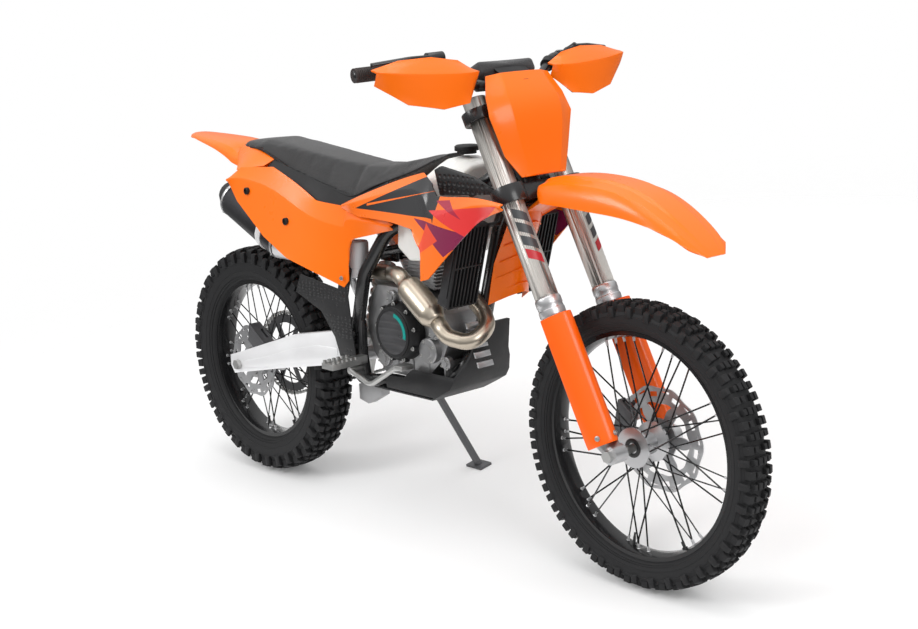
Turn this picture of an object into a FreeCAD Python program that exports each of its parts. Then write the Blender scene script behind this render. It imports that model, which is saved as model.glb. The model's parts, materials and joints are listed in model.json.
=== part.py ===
# Enduro dirt bike, construction model in millimetres.
# The bike is drawn upright: +X forward, +Y to its left, +Z up, with the rear contact point as origin.
# At the end every piece gets one common placement that leans the bike onto its side stand.
import FreeCAD, Part
import math
import os

os.makedirs("parts", exist_ok=True)
V = FreeCAD.Vector
doc = FreeCAD.newDocument("dirt_bike")
sheet = doc.addObject("Spreadsheet::Sheet", "sizes")

# Driving dimensions: lengths in millimetres, angles in degrees, the rest counts.
SIZES = (
    # Layout of the whole bike
    ("wheelbase", 1485),
    ("rake_angle", 26.1),
    ("axle_lead", 53),
    ("lean_angle", 10.4),
    ("overrun", 20),
    ("seat_gap", 0.3),
    # Front wheel
    ("front_radius", 345),
    ("front_width", 89),
    ("front_rim_radius", 274),
    ("front_rim_width", 52),
    ("front_lug_height", 12),
    ("front_lug_long", 24),
    ("front_lug_rows", 26),
    # Rear wheel
    ("rear_radius", 342),
    ("rear_width", 114),
    ("rear_rim_radius", 240),
    ("rear_rim_width", 66),
    ("rear_lug_height", 15),
    ("rear_lug_long", 28),
    ("rear_lug_rows", 22),
    # What both wheels share
    ("rim_lip", 3),
    ("rim_depth", 10),
    ("rim_wall", 6),
    ("spoke_radius", 2.1),
    ("spoke_count", 36),
    ("spoke_gap", 1.2),
    ("spoke_cross_angle", 27),
    ("spoke_roll_angle", 20),
    ("hub_length", 74),
    ("hub_flange_radius", 48),
    ("hub_flange_width", 6),
    ("hub_barrel_radius", 27),
    ("axle_radius", 10),
    ("axle_clearance", 0.3),
    ("axle_nut_radius", 15),
    ("axle_nut_length", 12),
    ("disc_width", 3),
    ("disc_side", 60),
    ("front_disc_radius", 130),
    ("rear_disc_radius", 110),
    ("disc_waves", 10),
    ("disc_wave_depth", 6),
    ("disc_band", 24),
    # Chain drive
    ("chain_pitch", 15.875),
    ("rear_teeth", 50),
    ("front_teeth", 14),
    ("chain_side", 71),
    ("chain_width", 17),
    ("chain_depth", 9),
    ("sprocket_width", 5),
    ("sprocket_band", 22),
    # Fork and clamps, in the frame of the steering axis
    ("fork_spread", 98),
    ("fork_offset", 22),
    ("fork_tube_radius", 29),
    ("fork_tube_foot", 350),
    ("fork_tube_top", 905),
    ("fork_leg_radius", 24),
    ("fork_leg_foot", 62),
    ("fork_lug_radius", 22),
    ("fork_lug_width", 40),
    ("fork_web_width", 30),
    ("lower_clamp_height", 655),
    ("lower_clamp_depth", 42),
    ("upper_clamp_height", 862),
    ("upper_clamp_depth", 28),
    ("clamp_wall", 13),
    ("stem_radius", 15),
    ("stem_clearance", 5.5),
    ("fork_guard_wall", 4),
    ("fork_guard_foot", 28),
    ("fork_guard_height", 320),
    ("fork_guard_wrap_angle", 100),
    ("fork_guard_reach", 73),
    ("front_axle_half", 108),
    ("front_caliper_width", 26),
    # Handlebar
    ("bar_radius", 14.3),
    ("bar_end_radius", 11),
    ("bar_half", 405),
    ("bar_rise", 930),
    ("bar_lift", 74),
    ("bar_forward", 47),
    ("bar_sweep", 52),
    ("bar_bend", 60),
    ("bar_mount_gap", 52),
    ("grip_radius", 16.5),
    ("grip_length", 120),
    ("grip_flange_radius", 25),
    ("grip_flange_width", 5),
    ("pad_length", 190),
    ("pad_depth", 58),
    ("pad_height", 40),
    # Front plastics
    ("guard_wall", 4),
    ("handguard_reach", 96),
    ("handguard_height", 112),
    ("plate_half", 138),
    ("plate_height", 250),
    ("plate_reach", 62),
    ("plate_foot", 684),
    ("fender_length", 560),
    ("fender_half", 90),
    ("fender_drop", 72),
    ("fender_wall", 3.5),
    ("fender_top", 702),
    ("fender_fall", 375),
    ("flap_foot", 456),
    ("flap_height", 168),
    ("flap_reach", 188),
    ("flap_half", 62),
    # Frame
    ("head_tube_radius", 31),
    ("head_tube_foot", 684),
    ("head_tube_length", 156),
    ("frame_tube_radius", 20),
    ("spar_radius", 18),
    ("spar_drop", 420),
    ("spar_foot_x", 562),
    ("cradle_half", 62),
    ("cradle_height", 386),
    ("cradle_front_x", 935),
    ("cradle_front_height", 500),
    ("pivot_x", 548),
    ("pivot_height", 442),
    ("pivot_half", 100),
    ("frame_guard_half", 122),
    ("frame_guard_x", 262),
    ("frame_guard_foot", 424),
    ("frame_guard_length", 320),
    ("frame_guard_height", 286),
    ("pivot_plate_wall", 18),
    ("pivot_plate_reach", 70),
    ("pivot_plate_height", 110),
    ("pivot_radius", 12),
    ("subframe_radius", 10),
    ("subframe_half", 78),
    ("subframe_x", 682),
    ("subframe_height", 781),
    ("subframe_length", 602),
    ("subframe_rise", 159),
    ("strut_foot_x", 583),
    ("strut_foot_height", 598),
    # Engine
    ("engine_x", 585),
    ("engine_foot", 412),
    ("engine_length", 325),
    ("engine_height", 235),
    ("engine_width", 160),
    ("clutch_cover_radius", 78),
    ("clutch_cover_depth", 46),
    ("ignition_cover_radius", 62),
    ("ignition_cover_depth", 34),
    ("cylinder_length", 118),
    ("cylinder_height", 86),
    ("cylinder_width", 104),
    ("head_width", 104),
    ("cylinder_tilt_angle", 12),
    ("head_height", 70),
    # Exhaust
    ("pipe_radius", 21),
    ("chamber_radius", 36),
    ("pipe_out", 150),
    ("pipe_loop_x", 1053),
    ("pipe_loop_height", 575),
    ("pipe_inner_side", 58),
    ("pipe_inner_x", 600),
    ("pipe_inner_height", 676),
    ("muffler_x", 20),
    ("muffler_height", 862),
    ("muffler_tilt_angle", 24.8),
    ("muffler_cone_length", 62),
    ("muffler_radius", 54),
    ("muffler_length", 296),
    ("muffler_side", 122),
    ("muffler_cap_length", 42),
    # Bodywork
    ("seat_x", -5),
    ("seat_length", 892),
    ("seat_foot", 876),
    ("seat_height", 139),
    ("seat_half", 110),
    ("tank_x", 762),
    ("tank_length", 240),
    ("tank_foot", 735),
    ("tank_height", 270),
    ("tank_half", 132),
    ("tank_tunnel_half", 83),
    ("cap_radius", 31),
    ("cap_height", 22),
    ("shroud_x", 590),
    ("shroud_length", 661),
    ("shroud_foot", 702),
    ("shroud_height", 266),
    ("shroud_half", 190),
    ("panel_wall", 3.5),
    ("side_panel_x", 104),
    ("side_panel_length", 684),
    ("side_panel_foot", 636),
    ("side_panel_height", 311),
    ("side_panel_half", 180),
    ("rear_fender_x", -303),
    ("rear_fender_length", 560),
    ("rear_fender_foot", 925),
    ("rear_fender_height", 95),
    ("rear_fender_half", 98),
    ("louvre_count", 9),
    ("louvre_width", 4),
    ("louvre_depth", 8),
    ("radiator_half", 121),
    ("radiator_width", 98),
    ("radiator_depth", 32),
    ("radiator_height", 214),
    ("radiator_x", 1003),
    ("radiator_foot", 640),
    ("radiator_rod_x", 1044),
    ("radiator_rod_height", 835),
    ("radiator_tilt_angle", 16.5),
    ("skid_wall", 5),
    ("skid_x", 612),
    ("skid_length", 394),
    ("skid_width", 200),
    ("skid_room_width", 190),
    ("skid_height", 216),
    # Swingarm, shock and controls
    ("swingarm_inner", 88),
    ("swingarm_wall", 27),
    ("swingarm_x", -42),
    ("swingarm_length", 547),
    ("swingarm_foot", 311),
    ("swingarm_height", 194),
    ("barrel_radius", 20),
    ("caliper_width", 40),
    ("shock_foot_x", 470),
    ("shock_foot_height", 350),
    ("shock_top_x", 590),
    ("shock_top_height", 710),
    ("spring_radius", 34),
    ("spring_coils", 6),
    ("rear_axle_half", 128),
    ("peg_length", 90),
    ("peg_width", 48),
    ("peg_depth", 26),
    ("peg_x", 605),
    ("peg_height", 448),
    ("peg_inner", 152),
    ("lever_width", 10),
    ("pedal_x", 584),
    ("pedal_length", 230),
    ("gear_x", 660),
    ("gear_height", 470),
    ("gear_length", 145),
    # Side stand
    ("stand_eye_length", 24),
    ("stand_axis_angle", 18.7),
    ("stand_x", 566),
    ("stand_height", 338),
    ("stand_side", 138),
    ("stand_foot_x", 604),
    ("stand_foot_side", 286),
    ("stand_radius", 11),
    ("stand_foot_length", 62),
    ("stand_foot_width", 44),
    ("stand_foot_wall", 7),
)
for row, (alias, number) in enumerate(SIZES, start=1):
    sheet.set("A%d" % row, alias)
    sheet.set("B%d" % row, str(number))
    sheet.setAlias("B%d" % row, alias)
doc.recompute()


class Sizes:
    """Reads a driving dimension from the sheet by its alias."""

    def __getattr__(self, alias):
        return float(sheet.get(alias))


S = Sizes()
NODES = []
RIGHT, LEFT = -1, 1
SIDES = (RIGHT, LEFT)


# Frames in which pieces are drawn

def moved(x, y, z):
    return FreeCAD.Placement(V(x, y, z), FreeCAD.Rotation())


BIKE = FreeCAD.Placement()
RAKE = math.radians(S.rake_angle)
STEERING_FOOT = V(
    S.wheelbase - S.axle_lead * math.cos(RAKE), 0, S.front_radius - S.axle_lead * math.sin(RAKE)
)
STEERING = FreeCAD.Placement(STEERING_FOOT, FreeCAD.Rotation(V(0, 1, 0), -S.rake_angle))
FRONT_AXLE = moved(S.wheelbase, 0, S.front_radius)
REAR_AXLE = moved(0, 0, S.rear_radius)


# Small tools for shapes

def spread(shares, x, z, length, height):
    """Turns shares of a length and a height into points of a side view."""
    return [(x + a * length, z + b * height) for a, b in shares]


def mix(a, b, share):
    return a + (b - a) * share


def node(made, label, frame=BIKE):
    made.Label = label
    made.Placement = frame
    NODES.append(made)
    return made


def shape_node(label, shape, frame=BIKE):
    """A piece whose form no sketch feature or primitive fits."""
    made = doc.addObject("Part::Feature", label)
    made.Shape = shape
    return node(made, label, frame)


def origin_of(body, role):
    return [found for found in body.Origin.OriginFeatures if found.Role == role][0]


def sketch_in(body, role, outlines, lift=0, turn=None):
    """A sketch on one of the body's own planes, with closed outlines of straight runs."""
    made = body.newObject("Sketcher::SketchObject", body.Name + "_outline")
    made.AttachmentSupport = (origin_of(body, role), [""])
    made.MapMode = "FlatFace"
    made.AttachmentOffset = FreeCAD.Placement(V(0, 0, lift), turn or FreeCAD.Rotation())
    for points in outlines:
        for a, b in zip(points, points[1:] + points[:1]):
            made.addGeometry(Part.LineSegment(V(a[0], a[1], 0), V(b[0], b[1], 0)), False)
    return made


def pad_in(body, sketch, width):
    """Pads a sketch to both sides of its plane by a width bound to the sheet."""
    pad = body.newObject("PartDesign::Pad", body.Name + "_pad")
    pad.Profile = sketch
    pad.Midplane = True
    pad.setExpression("Length", width)
    return pad


def plate(name, outlines, width, side=0):
    """A flat piece in side view, centred on its distance to the left of the bike's middle."""
    body = doc.addObject("PartDesign::Body", name)
    pad_in(body, sketch_in(body, "XZ_Plane", outlines, -side), width)
    return body


def turned(name, profile):
    """A round piece about the Y axis; its profile is a list of radius and side."""
    body = doc.addObject("PartDesign::Body", name)
    sketch = sketch_in(body, "XY_Plane", [profile])
    spin = body.newObject("PartDesign::Revolution", name + "_turn")
    spin.Profile = sketch
    spin.ReferenceAxis = (sketch, ["V_Axis"])
    spin.Angle = 360
    return body


def patterned(body, feature, count):
    """Repeats a feature round the body's Y axis."""
    pattern = body.newObject("PartDesign::PolarPattern", body.Name + "_pattern")
    pattern.Originals = [feature]
    pattern.Axis = (origin_of(body, "Y_Axis"), [""])
    pattern.Angle = 360
    pattern.setExpression("Occurrences", count)
    body.Tip = pattern
    return pattern


def rod(name, start, end, radius):
    """A round bar between two points, its radius bound to the sheet."""
    made = doc.addObject("Part::Cylinder", name)
    made.setExpression("Radius", radius)
    made.Height = (end - start).Length
    made.Placement = FreeCAD.Placement(start, FreeCAD.Rotation(V(0, 0, 1), end - start))
    return made


def block(name, low, high):
    made = doc.addObject("Part::Box", name)
    made.Length, made.Width, made.Height = high.x - low.x, high.y - low.y, high.z - low.z
    made.Placement = FreeCAD.Placement(low, FreeCAD.Rotation())
    return made


def fused(name, parts):
    made = doc.addObject("Part::MultiFuse", name)
    made.Shapes = parts
    return made


def grouped(name, parts):
    """Like pieces that don't touch, kept as separate solids."""
    made = doc.addObject("Part::Compound", name)
    made.Links = parts
    return made


def less(name, base, tool):
    made = doc.addObject("Part::Cut", name)
    made.Base = base
    made.Tool = tool
    return made


def tube(points, radius, bend):
    """A round tube: straight runs joined by tangent bends, each as large as its runs allow."""
    parts = []
    start = points[0]
    run_share = 0.45
    for before, corner, after in zip(points, points[1:], points[2:]):
        way = (corner - before).normalize()
        ahead = (after - corner).normalize()
        half = way.getAngle(ahead) / 2
        shortest = min((before - corner).Length, (after - corner).Length)
        reach = min(bend * math.tan(half), run_share * shortest)
        stop = corner - way * reach
        parts.append(Part.makeCylinder(radius, (stop - start).Length, start, way))
        axis = way.cross(ahead).normalize()
        centre = stop + axis.cross(way) * (reach / math.tan(half))
        ring = Part.Face(Part.Wire(Part.makeCircle(radius, stop, way)))
        parts.append(ring.revolve(centre, axis, math.degrees(2 * half)))
        start = corner + ahead * reach
    last = points[-1] - start
    parts.append(Part.makeCylinder(radius, last.Length, start, last))
    return parts[0].fuse(parts[1:])


def mirrored(shape):
    return shape.mirror(V(0, 0, 0), V(0, 1, 0))


def both_sides(shape):
    return Part.makeCompound([shape, mirrored(shape)])


def loft(sections):
    """A solid through closed outlines of equally many points, each panel split into two flat triangles."""
    faces = [Part.Face(Part.makePolygon(points + points[:1])) for points in (sections[0], sections[-1])]
    for near, far in zip(sections, sections[1:]):
        for a, b, c, d in zip(near, near[1:] + near[:1], far[1:] + far[:1], far):
            faces.append(Part.Face(Part.makePolygon([a, b, c, a])))
            faces.append(Part.Face(Part.makePolygon([a, c, d, a])))
    solid = Part.makeSolid(Part.makeShell(faces))
    if solid.Volume < 0:
        solid.reverse()
    return solid.removeSplitter()


def strip(stations, wall):
    """A bent panel: each station has a low and a high point, and the wall lies towards the middle."""
    sections = []
    for low, high in stations:
        inward = V(0, -wall, 0)
        sections.append([low, high, high + inward, low + inward])
    return loft(sections)


def arch(half, edge, shoulder, crown, wall, frame):
    """One arched cross-section of a fender as a closed band of points, placed by its frame."""
    shares = ((1.0, edge), (0.96, mix(edge, shoulder, 0.6)), (0.80, shoulder),
        (0.45, mix(shoulder, crown, 0.7)))
    right = [V(0, -a * half, z) for a, z in shares]
    outer = right + [V(0, 0, crown)] + [V(0, -p.y, p.z) for p in reversed(right)]
    inner = [V(0, p.y * (1 - wall / half), p.z - wall) for p in reversed(outer)]
    return [frame.multVec(p) for p in outer + inner]


# Wheels

LUG_EDGE_SHARE = 0.42
LUG_FALL_SHARE = 1.3


def faceted(profile, sides):
    """A ring of flat facets round the Y axis; the profile's radii hold at the middle of each facet."""
    out = 1 / math.cos(math.pi / sides)
    rings = []
    for step in range(sides):
        turn = FreeCAD.Rotation(V(0, 1, 0), 360 * (step + 0.5) / sides)
        rings.append([turn.multVec(V(r * out, y, 0)) for r, y in profile])
    faces = []
    for near, far in zip(rings, rings[1:] + rings[:1]):
        for a, b, c, d in zip(near, near[1:] + near[:1], far[1:] + far[:1], far):
            faces.append(Part.Face(Part.makePolygon([a, b, c, d, a])))
    solid = Part.makeSolid(Part.makeShell(faces))
    if solid.Volume < 0:
        solid.reverse()
    return solid


def tyre(end, frame):
    """A knobbly tyre: a casing of flat facets with lug rows repeated round it."""
    radius = getattr(S, end + "_radius")
    half = getattr(S, end + "_width") / 2
    lug = getattr(S, end + "_lug_height")
    rim = getattr(S, end + "_rim_radius")
    bead = getattr(S, end + "_rim_width") / 2 - S.rim_lip - S.seat_gap
    casing = radius - lug
    tall = casing - rim
    side_shares = ((0.05, 0.70), (0.45, 0.93), (0.80, 0.86), (1.0, 0.50))
    upper = [(rim + a * tall, b * half) for a, b in side_shares]
    right_half = [(rim - S.rim_depth + S.seat_gap, bead), (rim + S.seat_gap, bead)] + upper
    profile = right_half + [(r, -y) for r, y in reversed(right_half)]
    rows = int(getattr(S, end + "_lug_rows"))
    casing_band = doc.addObject("Part::Feature", end + "_casing")
    casing_band.Shape = faceted(profile, 2 * rows)
    body = doc.addObject("PartDesign::Body", end + "_tyre")
    body.BaseFeature = casing_band
    shoulder_share = 0.62
    sink = lug * 0.6
    centre = [[
        (casing - sink, -LUG_EDGE_SHARE * half), (radius, -LUG_EDGE_SHARE * half),
        (radius, LUG_EDGE_SHARE * half), (casing - sink, LUG_EDGE_SHARE * half),
    ]]
    shoulder = [
        [
            (casing - 2 * sink, sign * shoulder_share * half),
            (radius - lug * 0.35, sign * shoulder_share * half),
            (radius - lug * LUG_FALL_SHARE, sign * half), (radius - lug * 3.0, sign * half),
        ]
        for sign in SIDES
    ]
    count = "sizes." + end + "_lug_rows"
    width = "sizes." + end + "_lug_long"
    doc.recompute()
    pad = pad_in(body, sketch_in(body, "XY_Plane", centre), width)
    patterned(body, pad, count)
    doc.recompute()
    half_pitch = 180 / getattr(S, end + "_lug_rows")
    turn = FreeCAD.Rotation(V(0, 1, 0), half_pitch)
    pad = pad_in(body, sketch_in(body, "XY_Plane", shoulder, 0, turn), width)
    patterned(body, pad, count)
    return node(body, end + "_tyre", frame)


def rim(end, frame):
    """A rim with its laced spokes joined to it; each spoke stops just off the hub's flange."""
    radius = getattr(S, end + "_rim_radius")
    half = getattr(S, end + "_rim_width") / 2
    bed = radius - S.rim_depth
    well = bed - S.rim_wall
    well_share = 0.45
    right_half = [
        (bed, half - S.rim_lip),
        (radius, half - S.rim_lip),
        (radius, half),
        (bed, half),
        (well, half * well_share),
    ]
    ring = turned(end + "_rim_ring", right_half + [(r, -y) for r, y in reversed(right_half)])
    spokes = [ring]
    count = int(S.spoke_count)
    start_radius = S.hub_flange_radius + S.spoke_gap
    end_radius = well + S.rim_wall / 2
    flange = S.hub_length / 2 - S.hub_flange_width / 2
    for index in range(count):
        sign = SIDES[index % 2]
        cross = SIDES[(index // 2) % 2] * S.spoke_cross_angle
        angle = 360 * index / count
        inner = FreeCAD.Rotation(V(0, 1, 0), angle).multVec(V(start_radius, sign * flange, 0))
        outer = FreeCAD.Rotation(V(0, 1, 0), angle + cross).multVec(
            V(end_radius, sign * half * well_share / 2, 0)
        )
        spoke = doc.addObject("Part::Prism", end + "_spoke")
        spoke.Polygon = 4
        spoke.setExpression("Circumradius", "sizes.spoke_radius")
        spoke.Height = (outer - inner).Length
        along = FreeCAD.Rotation(V(0, 0, 1), outer - inner)
        roll = FreeCAD.Rotation(V(0, 0, 1), S.spoke_roll_angle)
        spoke.Placement = FreeCAD.Placement(inner, along.multiply(roll))
        spokes.append(spoke)
    return node(fused(end + "_rim", spokes), end + "_rim", frame)


def hub(end, frame):
    """A spool hub with two flanges and a bore that clears the axle."""
    bore = S.axle_radius + S.axle_clearance
    long_half = S.hub_length / 2
    inner = long_half - S.hub_flange_width
    waist_share = 0.7
    profile = [
        (bore, -long_half),
        (S.hub_flange_radius, -long_half),
        (S.hub_flange_radius, -inner),
        (S.hub_barrel_radius, -inner * waist_share),
        (S.hub_barrel_radius, inner * waist_share),
        (S.hub_flange_radius, inner),
        (S.hub_flange_radius, long_half),
        (bore, long_half),
    ]
    return node(turned(end + "_hub", profile), end + "_hub", frame)


def disc(end, side, frame):
    """A wave brake disc with a carrier of six arms that reaches the hub's end."""
    radius = getattr(S, end + "_disc_radius")
    waves = int(S.disc_waves)
    steps = 6 * waves
    outer = []
    for index in range(steps):
        angle = 2 * math.pi * index / steps
        reach = radius - S.disc_wave_depth * (1 - math.cos(waves * angle)) / 2
        outer.append((reach * math.cos(angle), reach * math.sin(angle)))
    inner = []
    for index in range(steps):
        angle = 2 * math.pi * index / steps
        reach = radius - S.disc_band - S.disc_wave_depth * (1 - math.cos(waves * angle)) / 2
        inner.append((reach * math.cos(angle), reach * math.sin(angle)))
    band = plate(end + "_disc_band", [outer, inner], "sizes.disc_width", side)
    bore = S.axle_radius + S.axle_clearance
    direction = 1 if side > 0 else -1
    hub_end = direction * S.hub_length / 2
    collar_radius = S.hub_barrel_radius
    carrier = turned(
        end + "_disc_collar",
        [
            (bore, hub_end),
            (collar_radius, hub_end),
            (collar_radius, side + direction * S.disc_width / 2),
            (bore, side + direction * S.disc_width / 2),
        ],
    )
    arms = [band, carrier]
    arm_count = 6
    for index in range(arm_count):
        angle = 360 * index / arm_count
        arm = doc.addObject("Part::Box", end + "_disc_arm")
        arm.Length = radius - S.disc_band - collar_radius + S.disc_wave_depth
        arm.setExpression("Width", "sizes.disc_width")
        arm.Height = S.disc_band / 2
        turn = FreeCAD.Rotation(V(0, 1, 0), angle)
        corner = turn.multVec(V(collar_radius - S.disc_width, side - S.disc_width / 2, -S.disc_band / 4))
        arm.Placement = FreeCAD.Placement(corner, turn)
        arms.append(arm)
    return node(fused(end + "_disc", arms), end + "_disc", frame)


def sprocket_points(teeth, tip_radius, root_radius):
    """A toothed outline: four points for each tooth."""
    points = []
    tooth_shares = ((0.0, 0), (0.30, 1), (0.50, 1), (0.80, 0))
    for tooth in range(int(teeth)):
        for share, raised in tooth_shares:
            angle = 2 * math.pi * (tooth + share) / teeth
            reach = tip_radius if raised else root_radius
            points.append((reach * math.cos(angle), reach * math.sin(angle)))
    return points


def pitch_radius(teeth):
    return S.chain_pitch / (2 * math.sin(math.pi / teeth))


def ring_points(radius, count):
    return [
        (radius * math.cos(2 * math.pi * i / count), radius * math.sin(2 * math.pi * i / count))
        for i in range(count)
    ]


def rear_sprocket():
    tip = pitch_radius(S.rear_teeth) - S.chain_depth / 2 - S.seat_gap
    root = tip - S.chain_depth / 2
    hole = root - S.sprocket_band
    outline = sprocket_points(S.rear_teeth, tip, root)
    ring = plate("sprocket_ring", [outline, ring_points(hole, 24)], "sizes.sprocket_width", S.chain_side)
    bore = S.axle_radius + S.axle_clearance
    collar = turned(
        "sprocket_collar",
        [
            (bore, S.hub_length / 2),
            (S.hub_barrel_radius, S.hub_length / 2),
            (S.hub_barrel_radius, S.chain_side + S.sprocket_width / 2),
            (bore, S.chain_side + S.sprocket_width / 2),
        ],
    )
    arms = [ring, collar]
    arm_count = 6
    for index in range(arm_count):
        turn = FreeCAD.Rotation(V(0, 1, 0), 360 * index / arm_count)
        arm = doc.addObject("Part::Box", "sprocket_arm")
        arm.Length = hole - S.hub_barrel_radius + 2 * S.sprocket_width
        arm.setExpression("Width", "sizes.sprocket_width")
        arm.Height = S.sprocket_band * 0.7
        corner = turn.multVec(
            V(S.hub_barrel_radius - S.sprocket_width, S.chain_side - S.sprocket_width / 2,
                -arm.Height.Value / 2)
        )
        arm.Placement = FreeCAD.Placement(corner, turn)
        arms.append(arm)
    return node(fused("rear_sprocket", arms), "rear_sprocket", REAR_AXLE)


def drive_sprocket_centre():
    return V(S.pivot_x + 3.4 * S.chain_pitch, 0, S.pivot_height)


def chain_loop(offset):
    """The chain's outline round both sprockets, as far outside its pitch line as the offset."""
    big = pitch_radius(S.rear_teeth) + offset
    small = pitch_radius(S.front_teeth) + offset
    inner_side = V(0, S.chain_side - S.chain_width / 2, 0)
    rear = V(0, 0, S.rear_radius) + inner_side
    front = drive_sprocket_centre() + inner_side
    along = front - rear
    reach = along.Length
    slope = math.atan2(along.z, along.x)
    lean = math.acos((big - small) / reach)

    def spot(centre, radius, angle):
        return centre + V(radius * math.cos(angle), 0, radius * math.sin(angle))

    top, low = slope + lean, slope - lean
    back = slope + math.pi
    edges = [
        Part.LineSegment(spot(rear, big, top), spot(front, small, top)).toShape(),
        Part.Arc(spot(front, small, top), spot(front, small, slope), spot(front, small, low)).toShape(),
        Part.LineSegment(spot(front, small, low), spot(rear, big, low)).toShape(),
        Part.Arc(spot(rear, big, low), spot(rear, big, back), spot(rear, big, top)).toShape(),
    ]
    return Part.Wire(edges)


def chain():
    """The chain as one fixed loop: a plain closed band round both sprockets."""
    outer = Part.Face(chain_loop(S.chain_depth / 2))
    inner = Part.Face(chain_loop(-S.chain_depth / 2))
    band = outer.cut(inner).extrude(V(0, S.chain_width, 0))
    return shape_node("chain", band.Solids[0])


tyre("front", FRONT_AXLE)
rim("front", FRONT_AXLE)
hub("front", FRONT_AXLE)
disc("front", S.disc_side, FRONT_AXLE)
tyre("rear", REAR_AXLE)
rim("rear", REAR_AXLE)
hub("rear", REAR_AXLE)
disc("rear", -S.disc_side, REAR_AXLE)
rear_sprocket()
chain()


# Steering, drawn in the frame of the steering axis: X forward of it, Z up along it

def fork_pair(name, radius, foot, top):
    """A pair of upright cylinders at the fork's spread."""
    pair = []
    for side in SIDES:
        leg = doc.addObject("Part::Cylinder", name + "_leg")
        leg.setExpression("Radius", "sizes." + radius)
        leg.Height = top - foot
        leg.Placement = moved(S.fork_offset, side * S.fork_spread, foot)
        pair.append(leg)
    return pair


def fork_tubes():
    """The two outer tubes of the fork."""
    legs = fork_pair("fork_tube", "fork_tube_radius", S.fork_tube_foot, S.fork_tube_top)
    return node(grouped("fork_tubes", legs), "fork_tubes", STEERING)


def fork_legs():
    """The inner legs, with the lugs that hold the front axle."""
    legs = fork_pair("fork_leg", "fork_leg_radius", S.fork_leg_foot, S.fork_tube_foot)
    lugs = []
    for leg, side in zip(legs, SIDES):
        outer = side * (S.fork_spread + S.fork_lug_width / 2)
        inner = side * (S.fork_spread - S.fork_lug_width / 2)
        low, high = min(outer, inner), max(outer, inner)
        eye = doc.addObject("Part::Cylinder", "fork_eye")
        eye.setExpression("Radius", "sizes.fork_lug_radius")
        eye.setExpression("Height", "sizes.fork_lug_width")
        eye.Placement = FreeCAD.Placement(V(S.axle_lead, low, 0), FreeCAD.Rotation(V(0, 0, 1), V(0, 1, 0)))
        foot_wide = S.fork_leg_radius
        web_points = [
            (S.fork_offset - foot_wide, S.fork_leg_foot + S.fork_lug_radius),
            (S.fork_offset + foot_wide, S.fork_leg_foot + S.fork_lug_radius),
            (S.axle_lead + 0.8 * S.fork_lug_radius, 0),
            (S.axle_lead - 0.8 * S.fork_lug_radius, 0),
            (S.fork_offset - foot_wide, S.fork_leg_foot),
        ]
        web = plate("fork_web", [web_points], "sizes.fork_web_width", (low + high) / 2)
        bore = doc.addObject("Part::Cylinder", "fork_bore")
        bore.setExpression("Radius", "sizes.axle_radius")
        bore.Height = S.fork_lug_width + 2 * S.overrun
        bore.Placement = FreeCAD.Placement(
            V(S.axle_lead, low - S.overrun, 0), FreeCAD.Rotation(V(0, 0, 1), V(0, 1, 0))
        )
        parts = [leg, eye, web]
        if side == LEFT:
            parts.append(block(
                "caliper_tab",
                V(S.fork_offset - 3 * S.fork_leg_radius, S.disc_side + S.front_caliper_width / 2 + S.seat_gap,
                  S.fork_leg_foot),
                V(S.fork_offset, S.fork_spread, S.fork_leg_foot + 2 * S.fork_leg_radius),
            ))
        joined = fused("fork_foot", parts)
        lugs.append(less("fork_foot_bored", joined, bore))
    return node(grouped("fork_legs", lugs), "fork_legs", STEERING)


def front_axle():
    """The axle through both fork lugs, with a hexagonal head on the right."""
    axle = rod("axle_rod", V(0, -S.front_axle_half - S.axle_nut_length, 0), V(0, S.front_axle_half, 0),
               "sizes.axle_radius")
    head = doc.addObject("Part::Prism", "axle_head")
    head.Polygon = 6
    head.setExpression("Circumradius", "sizes.axle_nut_radius")
    head.setExpression("Height", "sizes.axle_nut_length")
    lug_end = S.fork_spread + S.fork_lug_width / 2
    head.Placement = FreeCAD.Placement(
        V(0, -lug_end, 0), FreeCAD.Rotation(V(0, 0, 1), V(0, -1, 0))
    )
    spacers = []
    gap = S.fork_spread - S.fork_lug_width / 2
    for side in SIDES:
        near = max(S.hub_length / 2, abs(S.disc_side) + S.disc_width / 2) + 2 * S.seat_gap
        spacer = doc.addObject("Part::Cylinder", "axle_spacer")
        spacer.Radius = (S.axle_nut_radius + S.axle_radius) / 2
        spacer.Height = gap - near
        spacer.Placement = FreeCAD.Placement(
            V(0, side * near, 0), FreeCAD.Rotation(V(0, 0, 1), V(0, side, 0))
        )
        spacers.append(spacer)
    return node(fused("front_axle", [axle, head] + spacers), "front_axle", FRONT_AXLE)


def clamp(label, height, depth, stem):
    """A triple clamp: a waisted plate with a round eye for each leg, and the bores of the eyes."""
    wide = S.fork_spread
    eye = S.fork_tube_radius + S.clamp_wall
    half = depth / 2
    outline_shares = ((-0.55, 0.0), (-0.35, 0.45), (0.05, 0.80), (0.72, 0.80), (1.15, 0.35), (1.15, 0.0))
    right_side = [(a * eye, b * wide) for a, b in outline_shares]
    points = right_side + [(u, -y) for u, y in reversed(right_side[:-1])][:-1]
    body = doc.addObject("PartDesign::Body", label + "_bridge")
    sketch = sketch_in(body, "XY_Plane", [points], height)
    pad_in(body, sketch, "sizes." + stem)
    eyes = fork_pair(label + "_eye", "fork_tube_radius", height - half, height + half)
    for made in eyes:
        made.setExpression("Radius", "sizes.fork_tube_radius + sizes.clamp_wall")
    bores = fork_pair(label + "_bore", "fork_tube_radius", height - depth, height + depth)
    return fused(label + "_solid", [body] + eyes), bores


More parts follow.
